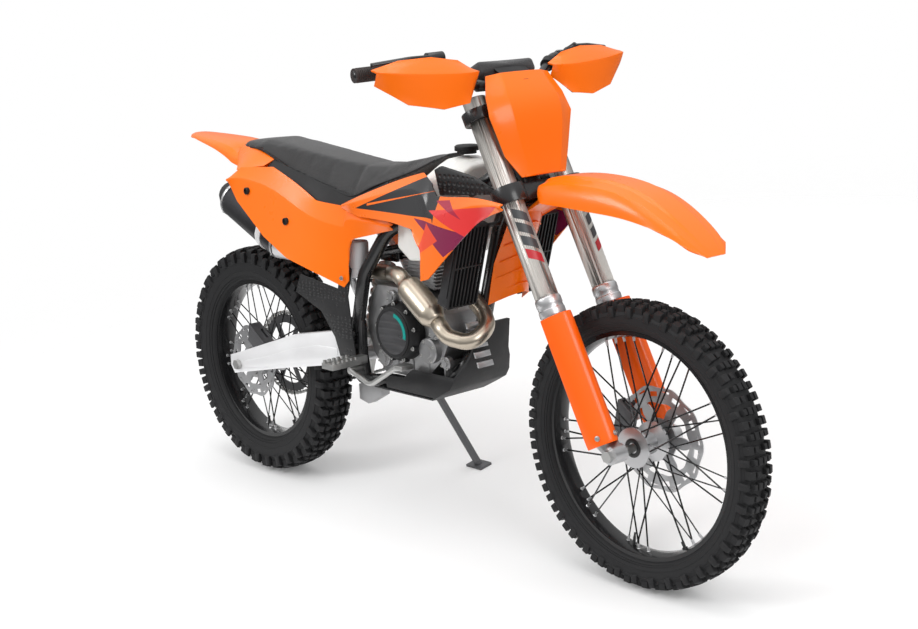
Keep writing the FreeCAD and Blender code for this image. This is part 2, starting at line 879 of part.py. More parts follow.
def clamps():
    for label, height, depth in (
        ("lower_clamp", S.lower_clamp_height, S.lower_clamp_depth),
        ("upper_clamp", S.upper_clamp_height, S.upper_clamp_depth),
    ):
        solid, bores = clamp(label, height, depth, label + "_depth")
        if label == "lower_clamp":
            stem = doc.addObject("Part::Cylinder", "steering_stem")
            stem.setExpression("Radius", "sizes.stem_radius")
            stem.Height = S.upper_clamp_height - S.upper_clamp_depth / 2 - height
            stem.Placement = moved(0, 0, height)
            solid = fused("lower_clamp_with_stem", [solid, stem])
        node(less(label, solid, fused(label + "_bores", bores)), label, STEERING)


def fork_guards():
    """Long half-round shields in front of the legs, cut square at both ends."""
    shells = []
    foot = S.fork_guard_foot
    top = foot + S.fork_guard_height
    reach = S.fork_guard_reach
    for side in SIDES:
        sections = []
        half = S.fork_tube_radius + 1.75 * S.fork_guard_wall
        middle = side * (S.fork_spread + 1.25 * S.fork_guard_wall)
        for w, deep in ((foot, 0.97), (foot + 0.3 * (top - foot), 1.0), (top, 1.0)):
            outer = []
            inner = []
            for step in range(-4, 5):
                angle = math.radians(S.fork_guard_wrap_angle) * step / 4
                u = S.fork_offset + reach * deep * math.cos(angle)
                y = middle + half * math.sin(angle)
                shrink = 1 - S.fork_guard_wall / half
                outer.append(V(u, y, w))
                inner.append(V(S.fork_offset + (u - S.fork_offset) * shrink, middle + (y - middle) * shrink,
                    w))
            sections.append(outer + inner[::-1])
        start = side * (S.fork_spread + S.fork_leg_radius + S.seat_gap)
        boss = Part.makeCylinder(
            2 * S.fork_guard_wall, side * middle + half - 0.5 * S.fork_guard_wall - side * start,
            V(S.fork_offset, start, foot + 0.25 * (top - foot)), V(0, side, 0)
        )
        shells.append(loft(sections).fuse(boss))
    return shape_node("fork_guards", Part.makeCompound(shells), STEERING)


def bar_route():
    """The handlebar from its right end to its left end."""
    right_half = [
        V(S.bar_forward - S.bar_sweep, -S.bar_half, S.bar_rise + S.bar_lift),
        V(S.bar_forward - 0.34 * S.bar_sweep, -0.52 * S.bar_half, S.bar_rise + 0.90 * S.bar_lift),
        V(S.bar_forward, -0.27 * S.bar_half, S.bar_rise),
    ]
    return right_half + [V(p.x, -p.y, p.z) for p in reversed(right_half)]


def handlebar():
    """The bar with the two mounts that hold it on the upper clamp."""
    bar = doc.addObject("Part::Feature", "bar_tube")
    bar.Shape = tube(bar_route(), S.bar_end_radius, S.bar_bend)
    mounts = []
    for side in SIDES:
        low = V(S.bar_forward, side * S.bar_mount_gap, S.upper_clamp_height + S.upper_clamp_depth / 2)
        high = V(S.bar_forward, side * S.bar_mount_gap, S.bar_rise)
        mounts.append(rod("bar_mount", low, high, "sizes.stem_radius"))
    thick = rod("bar_middle", V(S.bar_forward, -0.24 * S.bar_half, S.bar_rise),
                V(S.bar_forward, 0.24 * S.bar_half, S.bar_rise), "sizes.bar_radius")
    return node(fused("handlebar", [bar, thick] + mounts), "handlebar", STEERING)


def grips():
    """Rubber grips with an inner flange."""
    made = []
    for side in SIDES:
        end, inner = bar_route()[0], bar_route()[1]
        way = (inner - end).normalize()
        start = end - way * S.seat_gap
        stop = end + way * S.grip_length
        flip = V(1, -side, 1)

        def turn(p):
            return V(p.x, p.y * flip.y, p.z)

        sleeve = Part.makeCylinder(S.grip_radius, S.grip_length, turn(end), turn(stop) - turn(end))
        flange = Part.makeCylinder(
            S.grip_flange_radius, S.grip_flange_width, turn(stop), turn(stop) - turn(end)
        )
        bore = Part.makeCylinder(
            S.bar_end_radius, S.grip_length + 2 * S.overrun, turn(end - way * S.overrun),
            turn(stop) - turn(end)
        )
        made.append(sleeve.fuse(flange).cut(bore))
    return shape_node("grips", Part.makeCompound(made), STEERING)


def bar_pad():
    """The pad over the bar's clamps, a soft block with rounded edges."""
    low = V(S.bar_forward - S.pad_depth / 2, -S.pad_length / 2, S.bar_rise + S.bar_radius + S.seat_gap)
    pad = Part.makeBox(S.pad_depth, S.pad_length, S.pad_height, low)
    pad = pad.makeFillet(S.pad_height * 0.28, [e for e in pad.Edges if e.BoundBox.YLength > S.pad_depth * 1.5])
    return shape_node("bar_pad", pad, STEERING)


def controls():
    """Brake and clutch levers with their perches, master cylinder on the right."""
    made = []
    for side in SIDES:
        def turn(p):
            return V(p.x, -side * p.y, p.z)

        end, inner = bar_route()[0], bar_route()[1]
        way = (inner - end).normalize()
        perch = end + way * (S.grip_length + 6 * S.grip_flange_width)
        ring = Part.makeCylinder(S.grip_radius, 4 * S.grip_flange_width, turn(perch),
            turn(perch + way) - turn(perch))
        bore = Part.makeCylinder(
            S.bar_end_radius, 8 * S.grip_flange_width, turn(perch - way * S.grip_flange_width),
            turn(perch + way) - turn(perch)
        )
        arm_start = perch + way * 2 * S.grip_flange_width + V(1.45 * S.bar_end_radius, 0, 0)
        pivot = arm_start + V(2.6 * S.grip_radius, 0, 0)
        tip = end + way * (S.grip_length * 0.12) + V(3.0 * S.grip_radius, 0, 0)
        knee = pivot + (tip - pivot) * 0.35 + V(0.4 * S.grip_radius, 0, 0)
        arm = Part.makeCylinder(
            S.lever_width, (pivot - arm_start).Length, turn(arm_start), turn(pivot) - turn(arm_start)
        )
        blade = tube([turn(pivot), turn(knee), turn(tip)], S.lever_width * 0.55, S.bar_bend)
        body = ring.cut(bore).fuse([arm, blade])
        if side == RIGHT:
            tank_low = pivot + way * 0.2 * S.grip_radius - V(0.7 * S.grip_radius, 0, 0)
            tank = Part.makeCylinder(
                S.grip_radius * 0.9, S.grip_length * 0.36, turn(tank_low),
                turn(tank_low + way) - turn(tank_low)
            )
            body = body.fuse(tank)
        made.append(body)
    return shape_node("controls", Part.makeCompound(made), STEERING)


def handguards():
    """Shields in front of the grips, each a bent panel with an arm clamped to the bar."""
    shells = []
    rows = (
        (0.31, 0.96, 0.06, 0.86, -0.22),
        (0.43, 1.08, 0.26, 0.94, -0.68),
        (0.62, 1.06, 0.38, 0.88, -0.74),
        (0.84, 0.94, 0.40, 0.74, -0.52),
        (1.02, 0.78, 0.30, 0.66, -0.02),
    )
    corner, middle_end = bar_route()[1], bar_route()[2]
    clamp_point = mix(corner, middle_end, 0.30)
    way = (middle_end - corner).normalize()
    width = 1.4 * S.grip_radius
    ring = Part.makeCylinder(S.grip_radius, width, clamp_point - way * width / 2, way)
    arm_end = V(
        1.04 * S.handguard_reach - S.guard_wall / 2, clamp_point.y,
        S.bar_rise + 0.28 * S.bar_lift + 0.02 * S.handguard_height
    )
    arm = Part.makeCylinder(
        0.6 * S.grip_radius, (arm_end - clamp_point).Length, clamp_point, arm_end - clamp_point
    )
    bore = Part.makeCylinder(
        S.bar_end_radius + S.seat_gap, 3 * width, clamp_point - way * 1.5 * width, way
    )
    mount = ring.fuse(arm).cut(bore)
    sections = []
    for y_share, u_high, w_high, u_low, w_low in rows:
        y = -y_share * S.bar_half
        middle = S.bar_rise + 0.28 * S.bar_lift
        high = V(u_high * S.handguard_reach, y, middle + w_high * S.handguard_height)
        low = V(u_low * S.handguard_reach, y, middle + w_low * S.handguard_height)
        back = V(-S.guard_wall, 0, 0)
        sections.append([low, high, high + back, low + back])
    right = loft(sections).fuse(mount)
    return shape_node("handguards", both_sides(right), STEERING)


def number_plate():
    """The plate in front of the fork: a shell with a ridge, widest above its middle."""
    rows = (
        (0.00, 0.30, 1.14, 1.00),
        (0.22, 0.64, 1.40, 1.02),
        (0.58, 1.00, 1.98, 1.47),
        (0.78, 0.94, 1.98, 1.50),
        (1.00, 0.76, 1.76, 1.50),
    )
    sections = []
    for w_share, half_share, front_share, side_share in rows:
        w = S.plate_foot + w_share * S.plate_height
        half = half_share * S.plate_half
        front = front_share * S.plate_reach
        edge = side_share * S.plate_reach
        cheek = half * 0.62
        cheek_front = mix(edge, front, 0.86)
        outer = [V(edge, -half, w), V(cheek_front, -cheek, w), V(front, 0, w), V(cheek_front, cheek, w),
            V(edge, half, w)]
        inner = [V(p.x - S.guard_wall, p.y * 0.97, p.z) for p in reversed(outer)]
        sections.append(outer + inner)
    plate_shell = loft(sections)
    start = S.fork_offset + S.fork_tube_radius + S.seat_gap
    reach = 0.75 * S.plate_reach
    pegs = [
        Part.makeCylinder(
            1.5 * S.guard_wall, reach, V(start, side * 0.96 * S.fork_spread,
                S.plate_foot + 0.48 * S.plate_height),
            V(1, 0, 0)
        )
        for side in SIDES
    ]
    return shape_node("number_plate", plate_shell.fuse(pegs), STEERING)


def front_fender():
    """The high front fender under the lower clamp, with the flap behind the wheel."""
    rows = (
        (-0.085, 0.215, 0.60, 0.12, -6),
        (0.050, 0.205, 0.64, 0.18, -6),
        (0.120, 0.195, 0.66, 0.24, -10),
        (0.142, 0.110, 0.88, 0.70, -8),
        (0.190, 0.105, 0.96, 0.84, 8),
        (0.330, 0.180, 1.00, 0.96, 18),
        (0.480, 0.300, 1.00, 1.00, 27),
        (0.640, 0.470, 0.98, 0.84, 40),
        (0.750, 0.735, 0.90, 0.36, 60),
        (0.805, 0.930, 0.70, 0.10, 70),
        (0.818, 1.010, 0.36, 0.03, 76),
    )
    sections = []
    for u_share, fall_share, half_share, drop_share, slope in rows:
        frame = FreeCAD.Placement(
            V(u_share * S.fender_length, 0, S.fender_top - fall_share * S.fender_fall),
            FreeCAD.Rotation(V(0, 1, 0), slope),
        )
        drop = drop_share * S.fender_drop
        sections.append(arch(half_share * S.fender_half, -drop, -0.22 * drop, 0, S.fender_wall, frame))
    cover = loft(sections)
    flap_rows = (
        (1.00, 0.92, -0.20, -0.06),
        (0.80, 0.97, -0.42, -0.22),
        (0.50, 1.00, -0.78, -0.44),
        (0.22, 1.00, -1.00, -0.60),
        (0.00, 0.98, -1.17, -0.76),
    )
    sections = []
    for w_share, half_share, edge_share, middle_share in flap_rows:
        w = S.flap_foot + w_share * S.flap_height
        half = half_share * S.flap_half
        edge = edge_share * S.flap_reach
        middle = middle_share * S.flap_reach
        shoulder = mix(edge, middle, 0.72)
        outer = [
            V(edge, -half, w), V(shoulder, -half * 0.6, w), V(middle, 0, w), V(shoulder, half * 0.6, w),
            V(edge, half, w),
        ]
        inner = [V(p.x - S.fender_wall, p.y, p.z) for p in reversed(outer)]
        sections.append(outer + inner)
    pad_foot = S.fender_top - 0.214 * S.fender_fall
    pad_height = S.lower_clamp_height - S.lower_clamp_depth / 2 - S.seat_gap - pad_foot
    pads = [
        Part.makeCylinder(2 * S.fender_wall, pad_height,
            V(S.fork_offset, side * 0.3 * S.fender_half, pad_foot))
        for side in SIDES
    ]
    return shape_node("front_fender", cover.fuse([loft(sections)] + pads), STEERING)


def front_caliper():
    """The caliper that straddles the front disc, with its bracket to the left fork lug."""
    side = S.disc_side
    ring = S.front_disc_radius
    low_angle, high_angle = math.radians(146), math.radians(190)
    inner_radius = ring - 1.6 * S.disc_band
    outer_radius = ring + S.disc_band * 0.55
    points = []
    for radius, angles in ((outer_radius, (low_angle, high_angle)), (inner_radius, (high_angle, low_angle))):
        for angle in angles:
            points.append((radius * math.cos(angle), radius * math.sin(angle)))
    slot = 3 * S.disc_width
    solid = plate("caliper_block", [points], "sizes.front_caliper_width", side)
    gap_radius = ring + 2 * S.disc_width
    gap = doc.addObject("Part::Cylinder", "caliper_slot")
    gap.Radius = gap_radius
    gap.Height = slot
    gap.Placement = FreeCAD.Placement(V(0, side - slot / 2, 0), FreeCAD.Rotation(V(0, 0, 1), V(0, 1, 0)))
    cut = less("front_caliper", solid, gap)
    return node(cut, "front_caliper", FRONT_AXLE)


fork_tubes()
fork_legs()
front_axle()
clamps()
fork_guards()
handlebar()
grips()
bar_pad()
controls()
handguards()
number_plate()
front_fender()
front_caliper()


# Chassis, drawn in the frame of the upright bike

def pair(points, radius, bend):
    """A bent tube on the right side and its mirror image on the left."""
    return both_sides(tube([V(x, -y, z) for x, y, z in points], radius, bend)).Solids


SHOCK_EYE_SHARE = 0.36


def on_axis(height):
    """A point of the steering axis, that far above its foot."""
    return STEERING.multVec(V(0, 0, height))


def spar_point(reach_share, half_share, drop_share):
    """A point of a spar, from the pivot plates (0) to the head tube (1)."""
    crown = on_axis(S.head_tube_foot + S.head_tube_length * 0.45)
    return V(
        mix(S.spar_foot_x, crown.x, reach_share), half_share * S.pivot_half,
        crown.z - drop_share * S.spar_drop
    )


def spars(radius):
    route = [
        spar_point(1.00, 0.10, 0.000),
        spar_point(0.86, 0.42, 0.150),
        spar_point(0.42, 0.54, 0.365),
        spar_point(0.24, 0.84, 0.485),
        spar_point(0.08, 1.00, 0.770),
        spar_point(0.00, 1.00, 1.145),
    ]
    return both_sides(tube(route, radius, 5 * S.frame_tube_radius)).Solids


def downtube(radius):
    neck = on_axis(S.head_tube_foot + S.head_tube_length * 0.38)
    front_low = V(S.cradle_front_x, 0, S.cradle_front_height)
    knee = V(mix(front_low.x, neck.x, 0.55), 0, mix(front_low.z, neck.z, 0.66))
    return tube([neck, knee, front_low], radius, 5 * S.frame_tube_radius)


def frame():
    """Head tube, downtube, twin spars, cradle and the two plates that hold the pivot."""
    head = Part.makeCylinder(
        S.head_tube_radius, S.head_tube_length, on_axis(S.head_tube_foot), on_axis(1) - on_axis(0)
    )
    bore = Part.makeCylinder(
        S.stem_radius + S.stem_clearance, S.head_tube_length + 2 * S.overrun,
        on_axis(S.head_tube_foot - S.overrun), on_axis(1) - on_axis(0)
    )
    front_low = V(S.cradle_front_x, 0, S.cradle_front_height)
    bend = 5 * S.frame_tube_radius
    cradle = [
        (front_low.x, 0.18 * S.cradle_half, front_low.z),
        (front_low.x - 1.4 * S.frame_tube_radius, S.cradle_half, mix(S.cradle_height, front_low.z, 0.35)),
        (front_low.x - 5.0 * S.frame_tube_radius, S.cradle_half, S.cradle_height),
        (S.spar_foot_x + 4.6 * S.frame_tube_radius, S.cradle_half, S.cradle_height),
        (S.spar_foot_x + 2.8 * S.frame_tube_radius, S.pivot_half, S.cradle_height),
        (S.spar_foot_x + 0.6 * S.frame_tube_radius, S.pivot_half,
            S.cradle_height + 0.1 * S.frame_tube_radius),
    ]
    parts = spars(S.spar_radius) + pair(cradle, S.frame_tube_radius * 0.85, bend)
    plate_shares = (
        (-0.45, -0.30), (0.30, -0.62), (0.80, -0.50), (0.62, 0.10), (0.62, 0.95), (-0.05, 1.0), (-0.30, 0.40),
    )
    outline = [
        V(S.pivot_x + a * S.pivot_plate_reach, 0, S.pivot_height + b * S.pivot_plate_height)
        for a, b in plate_shares
    ]
    side_plate = Part.Face(Part.makePolygon(outline + outline[:1])).extrude(V(0, S.pivot_plate_wall, 0))
    side_plate.translate(V(0, S.pivot_half - S.pivot_plate_wall / 2, 0))
    end = spar_point(0.16, 0.92, 0.6275)
    cross = Part.makeCylinder(S.spar_radius * 0.7, 2 * end.y, V(end.x, -end.y, end.z), V(0, 1, 0))
    radiator_rod = Part.makeCylinder(
        0.3 * S.frame_tube_radius, 2 * (S.radiator_half - S.radiator_width / 2 - S.seat_gap),
        V(S.radiator_rod_x, S.seat_gap + S.radiator_width / 2 - S.radiator_half, S.radiator_rod_height),
        V(0, 1, 0)
    )
    ear_low = V(S.shock_top_x - 0.3 * S.spring_radius, SHOCK_EYE_SHARE * S.spring_radius + S.seat_gap,
                S.shock_top_height - 0.3 * S.spring_radius)
    shock_ear = Part.makeBox(end.x - ear_low.x, 0.24 * S.spring_radius, 0.7 * S.spring_radius, ear_low)
    bolt = Part.makeCylinder(
        S.pivot_radius, 2 * S.pivot_half + 1.6 * S.pivot_plate_wall,
        V(S.pivot_x, -S.pivot_half - 0.8 * S.pivot_plate_wall, S.pivot_height), V(0, 1, 0)
    )
    stand_bracket = Part.makeBox(
        2.4 * S.stand_radius, S.stand_side - S.pivot_half - S.stand_eye_length / 2 - 0.45 * S.stand_radius,
        S.pivot_height - 0.35 * S.pivot_plate_height - S.stand_height + 1.4 * S.stand_radius,
        V(S.stand_x - 1.2 * S.stand_radius, S.pivot_half, S.stand_height - 1.4 * S.stand_radius)
    )
    parts += [side_plate, mirrored(side_plate), cross, shock_ear, mirrored(shock_ear)]
    parts += [downtube(S.frame_tube_radius), radiator_rod, bolt, stand_bracket]
    return shape_node("frame", head.fuse(parts).cut(bore).removeSplitter())


def rail_point(share, half_share, rise_share):
    """A point of a tail rail, from the spar (0) to the loop at the rear (1)."""
    return (
        S.subframe_x - share * S.subframe_length, half_share * S.subframe_half,
        S.subframe_height + rise_share * S.subframe_rise
    )


def rails(radius):
    route = [
        rail_point(0.00, 1.08, 0.00), rail_point(0.24, 1.00, 0.40), rail_point(0.62, 0.92, 0.76),
        rail_point(1.00, 0.85, 1.00),
    ]
    return pair(route, radius, 6 * S.subframe_radius)


def subframe():
    """The bolted tail frame under the seat: rails, struts, a rear loop and the silencer's strap."""
    joint = rail_point(0.62, 0.92, 0.76)
    strut = [
        (S.strut_foot_x, 0.98 * S.pivot_half, S.strut_foot_height),
        (S.strut_foot_x - 2.6 * S.spar_radius, 0.98 * S.pivot_half,
            mix(S.strut_foot_height, S.subframe_height, 0.42)),
        (S.subframe_x - 0.40 * S.subframe_length, 0.92 * S.pivot_half,
            S.subframe_height - 0.06 * S.subframe_rise),
        joint,
    ]
    parts = rails(S.subframe_radius) + pair(strut, S.subframe_radius, 6 * S.subframe_radius)
    for x, half, z in (joint, rail_point(0.98, 0.85, 0.98)):
        parts.append(Part.makeCylinder(0.9 * S.subframe_radius, 2 * half, V(x, -half, z), V(0, 1, 0)))
    strap_start, strap_width = 0.74 * S.muffler_length, 2.2 * S.subframe_radius
    strap = loft([muffler_ring(strap_start, 1.07), muffler_ring(strap_start + strap_width, 1.07)])
    room_share = 1 + 2 * S.seat_gap / S.muffler_radius
    room = loft([
        muffler_ring(strap_start - strap_width, room_share),
        muffler_ring(strap_start + 2 * strap_width, room_share)
    ])
    middle = muffler_point(strap_start + strap_width / 2)
    rail_share = (S.subframe_x - middle.x) / S.subframe_length
    along = (rail_share - 0.62) / (1 - 0.62)
    x, half, z = rail_point(rail_share, mix(0.92, 0.85, along), mix(0.76, 1.00, along))
    hanger_low = V(x - 0.4 * strap_width, -half - 0.3 * S.subframe_radius, middle.z)
    hanger = Part.makeBox(0.8 * strap_width, 0.6 * S.subframe_radius, z - middle.z, hanger_low)
    parts += [strap, hanger]
    whole = parts[0].fuse(parts[1:])
    return shape_node("subframe", whole.cut(spars(S.spar_radius + S.seat_gap) + [room]))


def engine():
    """Crankcase, its two side covers, the cylinder and the head, all as outer castings."""
    case_shares = (
        (0.00, 0.45), (0.06, 0.20), (0.20, 0.00), (0.70, 0.00), (0.92, 0.28), (1.00, 0.50),
        (0.97, 0.78), (0.84, 0.92), (0.62, 1.00), (0.15, 1.00), (0.02, 0.80),
    )
    outline = spread(case_shares, S.engine_x, S.engine_foot, S.engine_length, S.engine_height)
    case = plate("crankcase_block", [outline], "sizes.engine_width")
    sprocket = drive_sprocket_centre()
    room = S.chain_pitch * 3.6
    pocket = block(
        "chain_room",
        V(sprocket.x - 2 * room, S.chain_side - S.chain_width, sprocket.z - room),
        V(sprocket.x + room, S.engine_width, sprocket.z + room),
    )
    mount_low = V(S.engine_x + 0.9 * S.engine_length, -S.frame_tube_radius,
        S.engine_foot + 0.44 * S.engine_height)
    mount = doc.addObject("Part::Feature", "engine_mount")
    mount.Shape = Part.makeBox(
        S.cradle_front_x - mount_low.x, 2 * S.frame_tube_radius, 0.12 * S.engine_height, mount_low
    ).cut(downtube(S.frame_tube_radius + S.seat_gap))
    node(fused("crankcase", [less("crankcase_hollowed", case, pocket), mount]), "crankcase")
    clutch_x = S.engine_x + 0.48 * S.engine_length
    clutch_z = S.engine_foot + 0.53 * S.engine_height
    right = -S.engine_width / 2 - S.seat_gap
    cover_profile = [
        (0, right), (S.clutch_cover_radius, right),
        (S.clutch_cover_radius, right - 0.55 * S.clutch_cover_depth),
        (0.88 * S.clutch_cover_radius, right - 0.95 * S.clutch_cover_depth),
        (0.80 * S.clutch_cover_radius, right - S.clutch_cover_depth), (0, right - S.clutch_cover_depth),
    ]
    node(turned("clutch_cover", cover_profile), "clutch_cover", moved(clutch_x, 0, clutch_z))
    left = S.engine_width / 2 + S.seat_gap
    cover_profile = [
        (0, left), (S.ignition_cover_radius, left),
        (S.ignition_cover_radius, left + 0.6 * S.ignition_cover_depth),
        (0.78 * S.ignition_cover_radius, left + S.ignition_cover_depth), (0, left + S.ignition_cover_depth),
    ]
    node(turned("ignition_cover", cover_profile), "ignition_cover",
         moved(S.engine_x + 0.60 * S.engine_length, 0, S.engine_foot + 0.57 * S.engine_height))


def cylinder_frame():
    """The cylinder's own frame: its foot on the crankcase, tilted forward."""
    foot = V(S.engine_x + 0.57 * S.engine_length, 0, S.engine_foot + S.engine_height + S.seat_gap)
    return FreeCAD.Placement(foot, FreeCAD.Rotation(V(0, 1, 0), S.cylinder_tilt_angle))


def cylinder():
    """The cylinder with a flange at its foot, and the head above it with its cam cover."""
    half = S.cylinder_length / 2
    lift = half * math.sin(math.radians(S.cylinder_tilt_angle))
    low = lift + S.seat_gap
    barrel = [
        (-half, low), (half, low), (half, low + 0.16 * S.cylinder_height),
        (0.88 * half, low + 0.22 * S.cylinder_height),
        (0.88 * half, S.cylinder_height), (-0.88 * half, S.cylinder_height),
        (-0.88 * half, low + 0.22 * S.cylinder_height),
        (-half, low + 0.16 * S.cylinder_height),
    ]
    node(plate("cylinder", [barrel], "sizes.cylinder_width"), "cylinder", cylinder_frame())
    foot = S.cylinder_height + S.seat_gap
    top = foot + S.head_height
    cover = [
        (-1.02 * half, foot), (1.02 * half, foot), (1.02 * half, mix(foot, top, 0.45)),
        (0.86 * half, mix(foot, top, 0.55)),
        (0.80 * half, mix(foot, top, 0.92)), (0.66 * half, top), (-0.60 * half, top),
        (-0.84 * half, mix(foot, top, 0.85)),
        (-0.90 * half, mix(foot, top, 0.50)), (-1.02 * half, mix(foot, top, 0.42)),
    ]
    node(plate("cylinder_head", [cover], "sizes.head_width"), "cylinder_head", cylinder_frame())


def front_sprocket():
    tip = pitch_radius(S.front_teeth) - S.chain_depth / 2 - S.seat_gap
    outline = sprocket_points(S.front_teeth, tip, tip - S.chain_depth / 2)
    ring = plate("drive_teeth", [outline], "sizes.sprocket_width", S.chain_side)
    shaft = turned("drive_shaft", [
        (0, S.chain_side - S.chain_width + S.seat_gap),
        (S.axle_radius, S.chain_side - S.chain_width + S.seat_gap),
        (S.axle_radius, S.chain_side + S.chain_width), (0, S.chain_side + S.chain_width),
    ])
    centre = drive_sprocket_centre()
    return node(fused("front_sprocket", [ring, shaft]), "front_sprocket", moved(centre.x, 0, centre.z))


def exhaust_route():
    """The header's middle line from the head's port to the muffler's cone."""
    out = S.pipe_out
    face = 0.51 * S.cylinder_length + S.seat_gap
    lift = S.cylinder_height + 0.22 * S.head_height
    port = cylinder_frame().multVec(V(face, -0.16 * out, lift))
    port_end = cylinder_frame().multVec(V(face + S.pipe_radius, -0.16 * out, lift))
    loop = V(S.pipe_loop_x, 0, S.pipe_loop_height)
    return [
        port,
        port_end,
        V(mix(port.x, loop.x, 0.36), -0.29 * out, mix(port.z, loop.z, 0.34)),
        V(mix(port.x, loop.x, 0.78), -0.31 * out, mix(port.z, loop.z, 0.78)),
        V(loop.x, -0.50 * out, mix(port.z, loop.z, 0.95)),
        V(loop.x - 0.4 * S.pipe_radius, -0.86 * out, loop.z - 1.2 * S.pipe_radius),
        V(loop.x - 3.4 * S.pipe_radius, -out, loop.z - 0.6 * S.pipe_radius),
        V(loop.x - 5.0 * S.pipe_radius, -out, loop.z + 1.0 * S.pipe_radius),
    ]


def exhaust_header():
    """The header pipe with its resonance chamber, ending in the muffler's front cone."""
    route = exhaust_route()
    bend = 2.4 * S.pipe_radius
    first = tube(route, S.pipe_radius, bend)
    chamber_foot = route[-1]
    chamber_top = chamber_foot + V(-6.4 * S.pipe_radius, 0.10 * S.pipe_out, 4.0 * S.pipe_radius)
    way = (chamber_top - chamber_foot).normalize()
    span = (chamber_top - chamber_foot).Length
    ring_shares = ((0.0, 0.58), (0.16, 0.95), (0.30, 1.0), (0.72, 1.0), (0.88, 0.92), (1.0, 0.58))
    chamber = []
    for (share, wide), (next_share, next_wide) in zip(ring_shares, ring_shares[1:]):
        foot = chamber_foot + way * span * share
        near, far = S.chamber_radius * wide, S.chamber_radius * next_wide
        height = span * (next_share - share)
        if near == far:
            chamber.append(Part.makeCylinder(near, height, foot, way))
        else:
            chamber.append(Part.makeCone(near, far, height, foot, way))
    cone = muffler_point(S.muffler_length + S.muffler_cone_length)
    inside = S.pipe_inner_side
    tail = [
        chamber_top - way * S.pipe_radius,
        chamber_top + way * 1.6 * S.pipe_radius,
        V(S.pipe_inner_x + 4 * S.pipe_radius, -1.15 * inside, S.pipe_inner_height + 0.2 * S.pipe_radius),
        V(S.pipe_inner_x, -inside, S.pipe_inner_height),
        V(S.pipe_inner_x - 5 * S.pipe_radius, -1.1 * inside, S.pipe_inner_height),
        cone + (muffler_point(1) - muffler_point(0)) * 2 * S.pipe_radius,
        cone,
    ]
    last = tube(tail, S.pipe_radius, bend)
    return shape_node("exhaust_header", first.fuse(chamber + [last]))


def muffler_point(reach):
    """A point of the muffler's middle line, that far forward of its rear end."""
    tilt = math.radians(S.muffler_tilt_angle)
    return V(
        S.muffler_x + reach * math.cos(tilt), -S.muffler_side, S.muffler_height - reach * math.sin(tilt)
    )


def muffler_ring(reach, share):
    """The can's rounded outline, that far forward of its rear end."""
    frame = FreeCAD.Placement(muffler_point(0), FreeCAD.Rotation(V(0, 1, 0), S.muffler_tilt_angle))
    points = []
    sides = 16
    for step in range(sides):
        angle = 2 * math.pi * (step + 0.5) / sides
        point = V(reach, 0.92 * S.muffler_radius * share * math.cos(angle),
            S.muffler_radius * share * math.sin(angle))
        points.append(frame.multVec(point))
    return points


def muffler():
    """The silencer: a rear cap with an outlet, an oval can and a front cone."""
    way = muffler_point(1) - muffler_point(0)
    can_start = S.muffler_cap_length
    can_end = S.muffler_length
    cone_end = can_end + S.muffler_cone_length - S.seat_gap
    can = loft([muffler_ring(can_start, 1), muffler_ring(can_end, 1)])
    cap = loft([muffler_ring(0, 0.62), muffler_ring(can_start - S.seat_gap, 0.99)])
    outlet = Part.makeCylinder(S.pipe_radius * 0.78, can_start * 0.7, muffler_point(-S.seat_gap), way)
    pocket = Part.makeCylinder(S.pipe_radius * 0.9, can_start * 0.15, muffler_point(can_start * 0.68), way)
    cap = cap.cut(outlet.fuse(pocket))
    collar = 1.25 * S.pipe_radius / S.muffler_radius
    cone = loft([
        muffler_ring(can_end + S.seat_gap, 0.97), muffler_ring(can_end + 8 * S.seat_gap, 0.97),
        muffler_ring(cone_end, collar)
    ])
    shape_node("muffler", can)
    shape_node("muffler_cap", cap)
    return shape_node("muffler_cone", cone)


def skid_plate():
    """A tray under the engine: a bent floor with side walls, narrow where it rises in front."""
    outer_shares = (
        (0.00, 0.00), (0.60, 0.00), (0.80, 0.20), (0.90, 0.50), (1.00, 1.0), (0.88, 1.0), (0.60, 0.62),
        (0.34, 0.22), (0.17, 0.20), (0.14, 0.022), (0.00, 0.022),
    )
    wall = S.skid_wall
    foot = S.cradle_height - 0.85 * S.frame_tube_radius - S.seat_gap - wall
    outer = spread(outer_shares, S.skid_x, foot, S.skid_length, S.skid_height)
    inner_shares = ((0.0, 0.0), (0.60, 0.0), (0.80, 0.20), (0.90, 0.50), (1.00, 1.0))
    inner = [
        (x - (wall if share > 0.7 else 0), z + wall)
        for (x, z), share in zip(spread(inner_shares, S.skid_x, foot, S.skid_length, S.skid_height),
                                 [a for a, b in inner_shares])
    ]
    inner[0] = (S.skid_x - S.overrun, inner[0][1])
    inner[-1] = (inner[-1][0], foot + S.skid_height + S.overrun)
    inner.append((S.skid_x - S.overrun, foot + S.skid_height + S.overrun))
    shell = less("skid_tray", plate("skid_outer", [outer], "sizes.skid_width"),
                 plate("skid_room", [inner], "sizes.skid_room_width"))
    half = S.skid_width / 2
    low, high = foot - S.overrun, foot + S.skid_height + S.overrun
    front_view = [
        (-0.84 * half, low), (0.84 * half, low), (half, foot + 0.10 * S.skid_height),
        (half, foot + 0.30 * S.skid_height), (0.66 * half, foot + 0.62 * S.skid_height),
        (0.40 * half, high), (-0.40 * half, high), (-0.66 * half, foot + 0.62 * S.skid_height),
        (-half, foot + 0.30 * S.skid_height), (-half, foot + 0.10 * S.skid_height),
    ]
    body = doc.addObject("PartDesign::Body", "skid_front_view")
    sketch = sketch_in(body, "YZ_Plane", [front_view], S.skid_x + S.skid_length / 2)
    pad_in(body, sketch, "2 * sizes.skid_length")
    common = doc.addObject("Part::MultiCommon", "skid_plate")
    common.Shapes = [shell, body]
    return node(common, "skid_plate")


